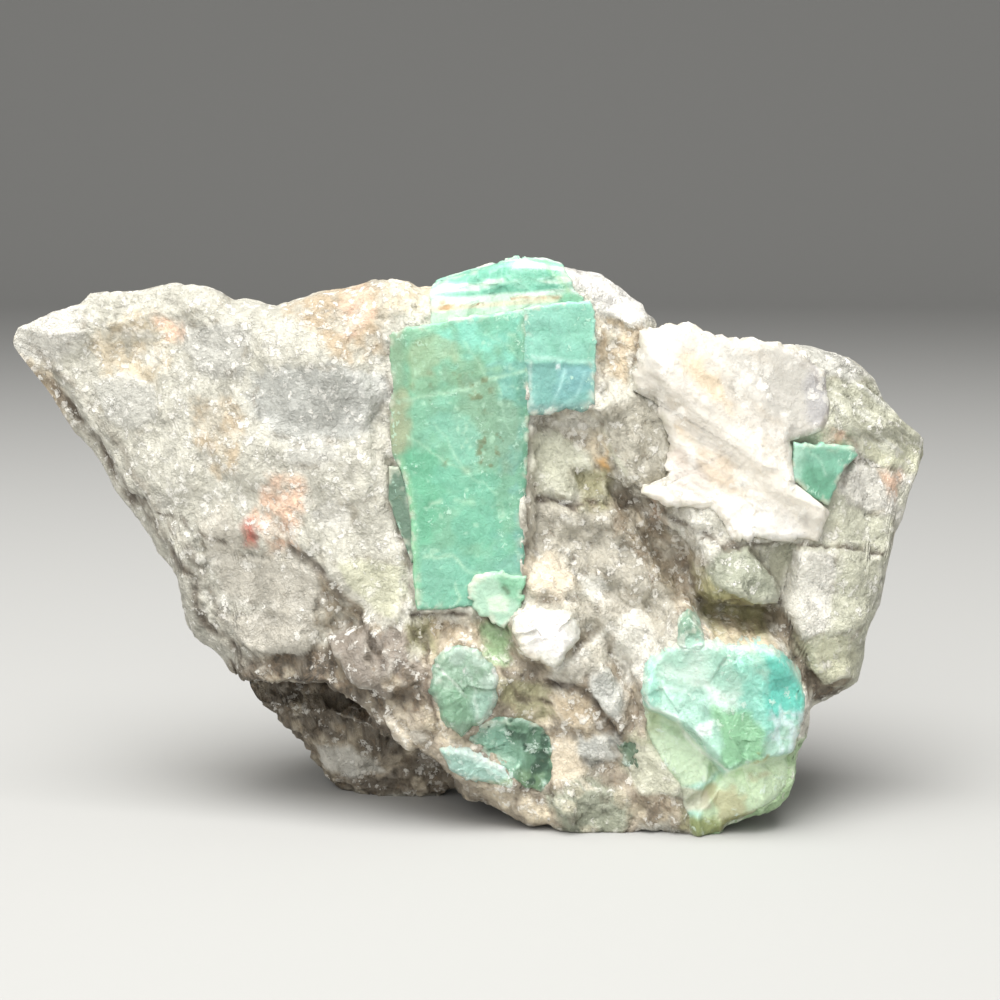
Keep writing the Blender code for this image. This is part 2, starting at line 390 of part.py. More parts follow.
def main():
    clear_scene()
    rock_set = collection("Emerald in matrix")
    cutters = collection("Cutters", hidden=True)
    looks = {
        "matrix": stone("Matrix", (0.52, 0.49, 0.43), 0.8),
        "feldspar": stone("Feldspar", (0.80, 0.76, 0.70), 0.55),
        "quartz": stone("Quartz", (0.62, 0.63, 0.61), 0.3),
        "emerald": stone("Emerald", (0.16, 0.52, 0.36), 0.3),
        "beryl": stone("Pale beryl", (0.36, 0.62, 0.52), 0.35),
    }

    rings = skin_points()
    rough = add("Skin", loft("Skin", rings, [(-39.5, 3.0, 39.3), (39.4, 2.0, 30.8)]), cutters)
    thin = rough.modifiers.new("Thin out", "DECIMATE")
    thin.ratio = KEEP
    thin.use_collapse_triangulate = True
    sole = straight_block("Under the feet", [(-45, -5), (45, -5), (45, FOOT_CUT), (-45, FOOT_CUT)], -30, (30, 0, 0))
    boolean(rough, "DIFFERENCE", add(sole.name, sole, cutters))
    body = settled(rough)

    matrix = add("matrix_rock", body.copy(), rock_set, looks["matrix"])
    crystals = {
        "emerald_prism": (PRISM, "emerald"),
        "emerald_side": (SIDE, "emerald"),
        "emerald_chip": (CHIP, "emerald"),
        "emerald_small_right": (SMALL_RIGHT, "emerald"),
    }
    for name, (corners, look) in crystals.items():
        add(name, hull(name, corners), rock_set, looks[look])
        boolean(matrix, "DIFFERENCE", add("Pocket " + name, hull(name, corners, 2 * SEAM), cutters))

    boolean(bpy.data.objects["emerald_prism"], "DIFFERENCE", bpy.data.objects["Pocket emerald_chip"])

    whole, level, *slopes = FELDSPAR_SLABS[0]
    block_mesh = slab("feldspar_block", whole, level, FELDSPAR_DEPTH, slopes)
    feldspar = add("feldspar_block", block_mesh, rock_set, looks["feldspar"])
    for outline, level, *slopes in FELDSPAR_SLABS[1:]:
        boolean(feldspar, "UNION", add("Feldspar slab", slab("Feldspar slab", outline, level, 4.0, slopes), cutters))
    whole, level, *slopes = FELDSPAR_SLABS[0]
    cut = slab("Pocket feldspar", whole, level, FELDSPAR_DEPTH, slopes, 2 * SEAM, reach=8.0)
    boolean(matrix, "DIFFERENCE", add(cut.name, cut, cutters))
    boolean(feldspar, "DIFFERENCE", bpy.data.objects["Pocket emerald_small_right"])
    cut = hull("Prism break", PRISM_BREAK)
    boolean(bpy.data.objects["emerald_prism"], "DIFFERENCE", add(cut.name, cut, cutters))

    pockets = []
    for name, (outline, depth) in GRAINS.items():
        look = "quartz" if name.startswith("quartz") else "emerald" if name.startswith("emerald") else "beryl"
        grain = add(name, body.copy(), rock_set, looks[look])
        cut = straight_block("Cut " + name, outline, NEAR_SIDE, depth)
        boolean(grain, "INTERSECT", add(cut.name, cut, cutters))
        for earlier in pockets:
            boolean(grain, "DIFFERENCE", earlier)
        cut = straight_block("Pocket " + name, outline, NEAR_SIDE, depth, 2 * SEAM)
        pockets.append(add(cut.name, cut, cutters))
        boolean(matrix, "DIFFERENCE", pockets[-1])
        for crystal in crystals:
            boolean(grain, "DIFFERENCE", bpy.data.objects["Pocket " + crystal])

    # The world origin is the middle of the footprint, on the ground.
    corners = np.array([
        obj.matrix_world @ Vector(corner)
        for obj in rock_set.objects
        for corner in obj.evaluated_get(bpy.context.evaluated_depsgraph_get()).bound_box
    ])  # fmt: skip
    least, most = corners.min(axis=0), corners.max(axis=0)
    centre = bpy.data.objects.new("Centre", None)
    rock_set.objects.link(centre)
    centre.location = (-(least[0] + most[0]) / 2, -(least[1] + most[1]) / 2, -least[2])
    for obj in [*rock_set.objects, *cutters.objects]:
        if obj is not centre:
            obj.parent = centre


main()
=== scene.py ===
"""Looks of the emerald in matrix: the broken rock skin and the crystals set in it, worked out with numpy.

Every surface is a grid of two parameters. The rock is a run of sections across
the width, each a ring through the front, top, back and underside. A crystal is
rings spread from its middle to its outline, carried back into the rock. Grains
are random cells: each cell tilts its own small plane, and takes its own mineral.
Tables are in millimetres, and SHIFT and MM take them to the frame.
"""

from itertools import product
from math import radians

import bpy
import numpy as np
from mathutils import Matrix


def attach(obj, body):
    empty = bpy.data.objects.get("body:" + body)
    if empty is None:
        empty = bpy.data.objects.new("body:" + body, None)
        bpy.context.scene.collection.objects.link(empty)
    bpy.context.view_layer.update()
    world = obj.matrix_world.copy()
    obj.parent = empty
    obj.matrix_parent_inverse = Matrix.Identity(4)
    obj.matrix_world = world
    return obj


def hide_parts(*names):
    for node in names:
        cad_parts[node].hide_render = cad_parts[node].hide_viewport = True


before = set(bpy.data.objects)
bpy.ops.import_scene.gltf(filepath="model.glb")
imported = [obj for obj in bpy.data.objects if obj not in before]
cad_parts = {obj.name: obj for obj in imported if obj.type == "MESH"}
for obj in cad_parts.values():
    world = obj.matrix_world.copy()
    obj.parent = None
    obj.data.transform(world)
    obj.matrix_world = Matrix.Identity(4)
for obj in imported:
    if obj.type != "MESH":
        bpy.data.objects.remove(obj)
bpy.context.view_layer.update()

MM = 0.001
SHIFT = np.array((0.050, -1.643, -0.300))  # from the lengths in the tables to the frame's origin
FLOOR = 0.3  # the feet are flat at this height of the tables
STATIONS, FRONT_POINTS, BACK_POINTS = 398, 172, 78
LEFT_END, RIGHT_END = -39.5, 39.4  # the x between which the sections stand

# The two edges of the body as seen from the front, left tip to right tip: x, z.
TOP_EDGE = [
    (-39.5, 39.4), (-39.0, 40.7), (-37.0, 41.5), (-35.6, 42.2), (-33.5, 42.7), (-32.4, 43.7),
    (-30.2, 44.0), (-28.5, 44.0), (-26.7, 44.5), (-24.7, 44.6), (-22.4, 44.4), (-21.3, 44.0),
    (-20.0, 43.4), (-18.1, 43.5), (-16.0, 43.2), (-14.3, 43.8), (-12.1, 44.3), (-10.4, 44.7),
    (-8.1, 45.6), (-6.6, 45.6), (-4.9, 45.3), (-4.2, 44.7), (-2.7, 44.6), (-1.5, 45.2),
    (0.2, 45.7), (2.3, 46.3), (3.2, 46.6), (4.9, 46.8), (6.6, 46.6), (7.8, 46.3),
    (9.5, 46.0), (11.8, 45.5), (13.1, 44.4), (14.6, 43.4), (15.5, 42.2), (16.2, 41.3),
    (18.9, 41.1), (19.8, 40.9), (22.1, 40.1), (25.0, 39.7), (28.4, 39.4), (30.3, 39.0),
    (32.4, 38.5), (33.4, 37.8), (34.8, 36.5), (35.5, 34.8), (37.1, 33.0), (39.0, 31.6), (39.4, 30.9),
]  # fmt: skip
BOTTOM_EDGE = [
    (-39.5, 39.2), (-38.9, 38.3), (-37.6, 36.6), (-36.7, 35.5), (-35.3, 33.6), (-34.1, 31.8),
    (-32.4, 30.1), (-31.6, 28.8), (-30.3, 26.6), (-29.0, 24.9), (-27.7, 23.3), (-26.5, 21.4),
    (-24.8, 19.6), (-24.3, 17.7), (-23.9, 15.6), (-23.1, 14.1), (-21.4, 13.0), (-20.5, 12.1),
    (-19.5, 10.9), (-19.1, 8.9), (-18.2, 7.5), (-16.3, 5.9), (-14.7, 4.4), (-13.7, 2.9),
    (-12.3, 1.1), (-11.0, 0.3), (-8.8, -0.3), (-7.5, -0.6), (-4.4, -0.6), (-2.6, -0.3),
    (-0.9, 1.7), (1.9, 1.7), (3.6, 1.0), (5.3, 0.2), (6.7, 0.5), (7.7, -0.1),
    (9.0, -0.5), (12.8, -0.5), (14.3, 0.3), (16.4, 0.0), (18.5, -0.3), (20.6, -0.3),
    (21.2, 0.5), (23.5, 1.4), (25.6, 1.8), (26.4, 2.7), (26.9, 5.2), (27.7, 6.4),
    (28.1, 8.1), (28.6, 8.9), (30.6, 9.6), (32.2, 10.2), (33.0, 10.9), (33.3, 12.4),
    (33.6, 14.7), (34.3, 15.9), (35.1, 17.2), (35.4, 18.9), (35.7, 21.0), (36.0, 21.7),
    (36.2, 22.8), (37.2, 24.5), (37.7, 26.3), (38.7, 28.6), (39.2, 29.7), (39.4, 30.7),
]  # fmt: skip
# Depths against x. The viewer stands on the low-y side.
TOP_DEPTH = [(-39.5, 3), (-30, 1.5), (-14, 0), (-3, -1), (9, -1), (20, 0), (32, 1), (39.4, 2)]
BOTTOM_DEPTH = [
    (-39.5, 3), (-30, 2), (-19, 2), (-13, 3), (-3, 3), (0, -6), (6, -10), (12, -11),
    (24, -10), (27, -8), (28.5, -2), (33, 0), (39.4, 2),
]  # fmt: skip
FRONT_DEPTH = [
    (-39.5, 0.8), (-36, -1.2), (-30, -3.2), (-18, -7), (-6, -9.5), (5, -10), (14, -9.5), (24, -9.5),
    (32, -6), (37, -2.4), (39.4, 0.2),
]  # fmt: skip
BACK_DEPTH = [
    (-39.5, 5.0), (-36, 8.4), (-30, 11), (-18, 15), (-4, 17.5), (8, 18), (20, 17), (30, 12.5),
    (37, 8), (39.4, 4.6),
]  # fmt: skip
MIDDLE_HEIGHT = 24.0
FRONT_LEAN = 0.17  # the front face leans back this much per unit of height
BACK_LEAN = -0.20

# Ledges, lumps and pits of the front: outline in x, z, then its level behind the
# plain front face (a negative level stands proud), then the width of its edge.
TERRACES = [
    ("set-back foot", [(-27, -3), (-27, 8.8), (-14.7, 8.6), (-8.8, 7.6), (-3.2, 5.4), (-1.0, 3.5),
        (-0.6, -3)], 10.5, 2.6),
    ("cavity over the foot",
        [(-20.5, 11.0), (-11.9, 11.4), (-8.8, 9.8), (-8.4, 8.4), (-11.9, 7.6), (-19.5, 8.3)], 12.0, 1.9),
    ("wedge lower tier",
        [(-26.5, 20.6), (-23.0, 20.4), (-19.1, 22.5), (-14.6, 22.2), (-10.1, 18.4), (-6.8, 14.0),
            (-4.6, 11.0), (-7.0, 9.6), (-11.4, 12.0), (-18.2, 11.8), (-24.1, 13.0)], 1.1, 1.6),
    ("grey lump", [(-27, 22.5), (-17.0, 24.0), (-12.6, 21.6), (-11.4, 17.6), (-13.6, 14.6), (-19.4, 13.6),
        (-26, 15.0)], 0.30, 1.8),
    ("nodules", [(-11.4, 15.2), (-8.3, 17.0), (-4.8, 15.6), (-3.6, 12.6), (-5.8, 11.2),
        (-9.6, 12.4)], -0.6, 1.6),
    ("wedge left edge", [(-40, 39.6), (-36.4, 37.8), (-31.6, 31.4), (-27.4, 25.0), (-24.6, 20.8), (-30, 18),
        (-42, 36)], 1.3, 1.6),
    ("wedge middle face",
        [(-24.5, 43.4), (-12.0, 43.0), (-7.6, 36.0), (-8.0, 27.0), (-15.0, 25.0),
            (-22.0, 31.0)], -0.5, 1.4),
    ("side of the big crystal",
        [(5.6, 34.0), (11.0, 34.0), (16.7, 29.5), (19.3, 22.0), (18.5, 17.5), (14.3, 17.1), (9.5, 20.2),
            (5.2, 21.2)], 1.7, 1.3),
    ("grey-green lump", [(11.6, 34.8), (15.2, 35.2), (16.6, 31.6), (16.4, 28.6), (13.4, 27.8),
        (11.2, 30.3)], 0.5, 1.8),
    ("grain by the crystal", [(6.0, 32.4), (9.8, 32.6), (11.0, 29.8), (9.4, 27.2), (6.2, 28.0)], 1.2, 1.6),
    ("grain below it", [(12.6, 24.6), (15.6, 23.8), (16.6, 20.4), (13.4, 19.0), (10.6, 21.6)], 1.0, 1.8),
    ("tan strip", [(9.2, 44.6), (12.6, 43.6), (14.0, 41.4), (13.4, 35.6), (11.2, 35.2),
        (11.2, 41.0)], 0.9, 1.1),
    ("top white feldspar", [(7.4, 45.6), (12.2, 45.4), (15.6, 42.2), (13.6, 41.4), (8.6, 43.6)], 0.1, 1.1),
    ("crevice", [(12.1, 27.9), (14.9, 26.9), (18.0, 23.4), (20.0, 19.4), (19.6, 16.8), (17.8, 17.6),
        (16.8, 20.6), (14.2, 24.0)], 3.2, 1.3),
    ("strip beside the knob",
        [(23.1, 23.4), (26.7, 23.2), (27.6, 22.6), (26.4, 17.8), (28.9, 12.8), (27.9, 10.0), (25.0, 15.6),
            (24.6, 18.2), (25.3, 19.6)], 1.2, 1.0),
    ("quartz knob", [(19.1, 22.2), (20.4, 23.5), (22.9, 23.5), (24.5, 21.5), (25.3, 19.8), (24.6, 18.4),
        (22.3, 19.1), (19.2, 19.2)], -1.4, 1.4),
    ("right lower block",
        [(27.4, 23.2), (35.8, 22.4), (35.6, 18.1), (34.4, 15.0), (33.6, 10.0), (31.0, 11.6), (28.6, 12.8),
            (27.0, 18.0)], -0.9, 1.1),
    ("pit under the knob",
        [(19.3, 18.0), (21.2, 18.5), (24.2, 18.1), (25.7, 17.2), (25.6, 15.9), (22.5, 16.3),
            (19.6, 16.6)], 4.2, 0.9),
    ("ledge under the big crystal", [(-4.4, 17.8), (3.2, 17.6), (3.0, 14.8), (-3.2, 15.6)], 0.6, 1.1),
    ("quartz under the ridge",
        [(13.6, 11.4), (15.0, 10.4), (19.4, 7.6), (20.2, 4.6), (18.4, 3.0), (18.4, -3),
            (13.6, -3)], -1.9, 1.6),
    ("lower-right swelling",
        [(13.8, 12.0), (14.6, 14.6), (16.4, 16.6), (17.0, 18.2), (18.0, 18.8), (19.2, 17.4), (20.4, 16.6),
            (24.9, 16.2), (26.2, 14.6), (28.0, 11.6), (28.6, 6.4), (26.0, 6.2), (21.0, 5.4), (18.8, 8.0),
            (17.2, 9.4), (14.6, 10.6)], -3.4, 1.5),
    ("foot of the swelling",
        [(20.6, 5.6), (26.0, 6.8), (28.6, 6.8), (28.6, -3), (18.0, -3), (18.2, 2.4),
            (19.6, 4.0)], -2.3, 1.3),
    ("diagonal grains", [(4.0, 15.4), (8.0, 13.6), (12.6, 7.2), (14.2, 9.6), (9.4, 18.0),
        (6.0, 20.0)], -0.8, 1.4),
    ("groove beside them",
        [(9.6, 15.6), (12.9, 12.4), (13.6, 9.2), (14.2, 10.4), (13.4, 14.0), (10.4, 17.4)], 0.8, 1.1),
    ("rounded beryl", [(-3.1, 14.6), (-0.8, 16.1), (1.2, 15.7), (2.7, 14.0), (3.0, 11.4), (1.7, 9.4),
        (-0.3, 8.2), (-2.3, 9.6), (-3.3, 12.0)], -1.1, 1.8),
    ("pale rim", [(-2.3, 7.6), (0.0, 7.3), (4.2, 5.8), (4.2, 4.0), (2.4, 3.4), (0.6, 3.8),
        (-1.4, 5.4)], -0.9, 1.0),
    ("quartz grain", [(3.7, 18.2), (5.3, 19.0), (9.1, 18.4), (9.3, 16.2), (7.3, 13.6), (4.7, 14.7),
        (3.3, 16.8)], -1.6, 0.9),
    ("quartz foot", [(7.2, 3.6), (9.2, 4.6), (12.5, 4.1), (14.4, 2.2), (13.6, -3), (7.0, -3)], -0.9, 1.3),
    ("right edge quartz",
        [(31.0, 38.0), (34.6, 36.0), (39.0, 31.4), (37.4, 25.0), (33.0, 24.4), (31.4, 27.0),
            (33.4, 31.0)], 0.2, 1.4),
    ("break in the prism's edge",
        [(-6.6, 30.4), (-5.4, 29.2), (-4.2, 26.6), (-4.0, 23.6), (-5.2, 24.6), (-6.2, 27.6)], 1.6, 0.8),
]  # fmt: skip

# Flat fracture faces of the back: x slope and z slope of the face, and its depth at x 0, z 24.
BACK_BREAKS = [
    (0.42, -0.10, 18.8), (-0.36, 0.22, 18.6), (0.05, -0.50, 18.0), (-0.16, 0.50, 20.5), (0.95, 0.10, 31.0),
    (-0.95, -0.30, 41.0),
]  # fmt: skip

# Where the underside stands on the ground, behind the front edge: x, y, radius.
REAR_FEET = [(13.0, 6.0, 6.5), (-8.0, 3.5, 5.0)]
UNDERSIDE_RISE = 2.6

# The feldspar block is cleaved slabs, one on another: outline in x, z, then level, then its slopes
# along x and z.
FELDSPAR_SLABS = [
    ([(14.2, 40.9), (16.0, 41.4), (18.3, 41.4), (21.3, 40.4), (27.5, 39.6), (29.7, 37.4), (30.3, 35.1),
        (30.0, 32.7), (27.9, 32.0), (26.9, 31.9), (26.8, 28.6), (30.1, 26.0), (29.1, 23.7), (21.9, 24.0),
        (20.2, 26.3), (18.2, 26.7), (16.4, 26.6), (14.4, 27.8), (14.5, 28.3), (16.3, 28.4), (16.5, 32.1),
        (15.4, 35.5), (13.7, 36.0)], -1.1, 0.02, 0.03),
    ([(14.4, 40.4), (17.0, 40.9), (20.6, 39.0), (24.6, 35.4), (26.4, 33.0), (26.6, 28.9), (29.6, 26.2),
        (28.9, 24.8), (26.4, 25.6), (23.4, 27.6), (19.9, 29.0), (16.8, 31.8), (15.6, 35.4), (14.2, 36.2)],
        -2.0, -0.04, -0.06),
    ([(14.9, 39.4), (17.4, 39.7), (21.5, 35.4), (26.0, 29.8), (29.2, 26.8), (28.9, 25.7), (27.4, 26.4),
        (24.7, 28.3), (19.1, 32.3), (16.0, 35.6), (14.9, 37.7)], -2.9, -0.05, -0.10),
    ([(15.3, 38.7), (17.0, 38.5), (21.0, 34.2), (25.0, 29.9), (24.2, 29.6), (20.0, 32.6), (16.4, 35.9)],
        -3.7, -0.05, -0.12),
]  # fmt: skip

# What a grain can be: its colour, then how glassy it is, how many white specks it holds, and how
# stained it is.
MINERALS = {
    "warm grains": (0.750, 0.680, 0.575, 0.20, 0.60, 0.45),
    "pale quartz": (0.800, 0.790, 0.737, 0.60, 0.50, 0.12),
    "white quartz": (0.865, 0.855, 0.815, 0.45, 0.45, 0.03),
    "grey quartz": (0.740, 0.735, 0.700, 0.70, 0.42, 0.08),
    "blue quartz": (0.735, 0.738, 0.712, 0.80, 0.34, 0.04),
    "glassy quartz": (0.780, 0.760, 0.707, 0.95, 0.16, 0.06),
    "smoky quartz": (0.725, 0.705, 0.648, 0.55, 0.44, 0.38),
    "green quartz": (0.770, 0.770, 0.692, 0.80, 0.36, 0.08),
    "olive quartz": (0.605, 0.590, 0.460, 0.65, 0.22, 0.35),
    "yellow quartz": (0.810, 0.808, 0.705, 0.80, 0.32, 0.10),
    "brown quartz": (0.650, 0.608, 0.540, 0.45, 0.40, 0.45),
    # foot quartz: brown quartz darkened as painted shade for the set-back foot
    "foot quartz in painted shade": (0.480, 0.440, 0.380, 0.40, 0.30, 0.50),
    "dusty quartz": (0.600, 0.560, 0.512, 0.50, 0.36, 0.35),
    "lemon quartz": (0.910, 0.910, 0.800, 0.70, 0.40, 0.05),
    "pale olive quartz": (0.730, 0.710, 0.550, 0.65, 0.22, 0.25),
    "sea quartz": (0.610, 0.625, 0.550, 0.85, 0.30, 0.15),
    "cream quartz": (0.845, 0.795, 0.705, 0.65, 0.35, 0.14),
    "cream grains": (0.850, 0.800, 0.700, 0.25, 0.70, 0.38),
    "tan grains": (0.795, 0.730, 0.625, 0.20, 0.66, 0.45),
    "white grains": (0.850, 0.840, 0.795, 0.30, 0.80, 0.28),
    "rust grains": (0.925, 0.795, 0.695, 0.25, 0.60, 0.20),
    "orange grains": (0.850, 0.680, 0.460, 0.30, 0.30, 0.20),
    "red grains": (0.860, 0.440, 0.380, 0.30, 0.35, 0.05),
    "brown grains": (0.610, 0.565, 0.490, 0.25, 0.56, 0.65),
    # dark grains: real dark grains, and also laid as painted shade in the cavity over the foot, in a
    # crevice and under the right lower block
    "painted shade and dark grains": (0.360, 0.325, 0.275, 0.25, 0.30, 0.80),
    "white feldspar": (0.870, 0.862, 0.840, 0.45, 0.30, 0.06),
    "green tint": (0.660, 0.770, 0.600, 0.60, 0.30, 0.10),
}  # fmt: skip

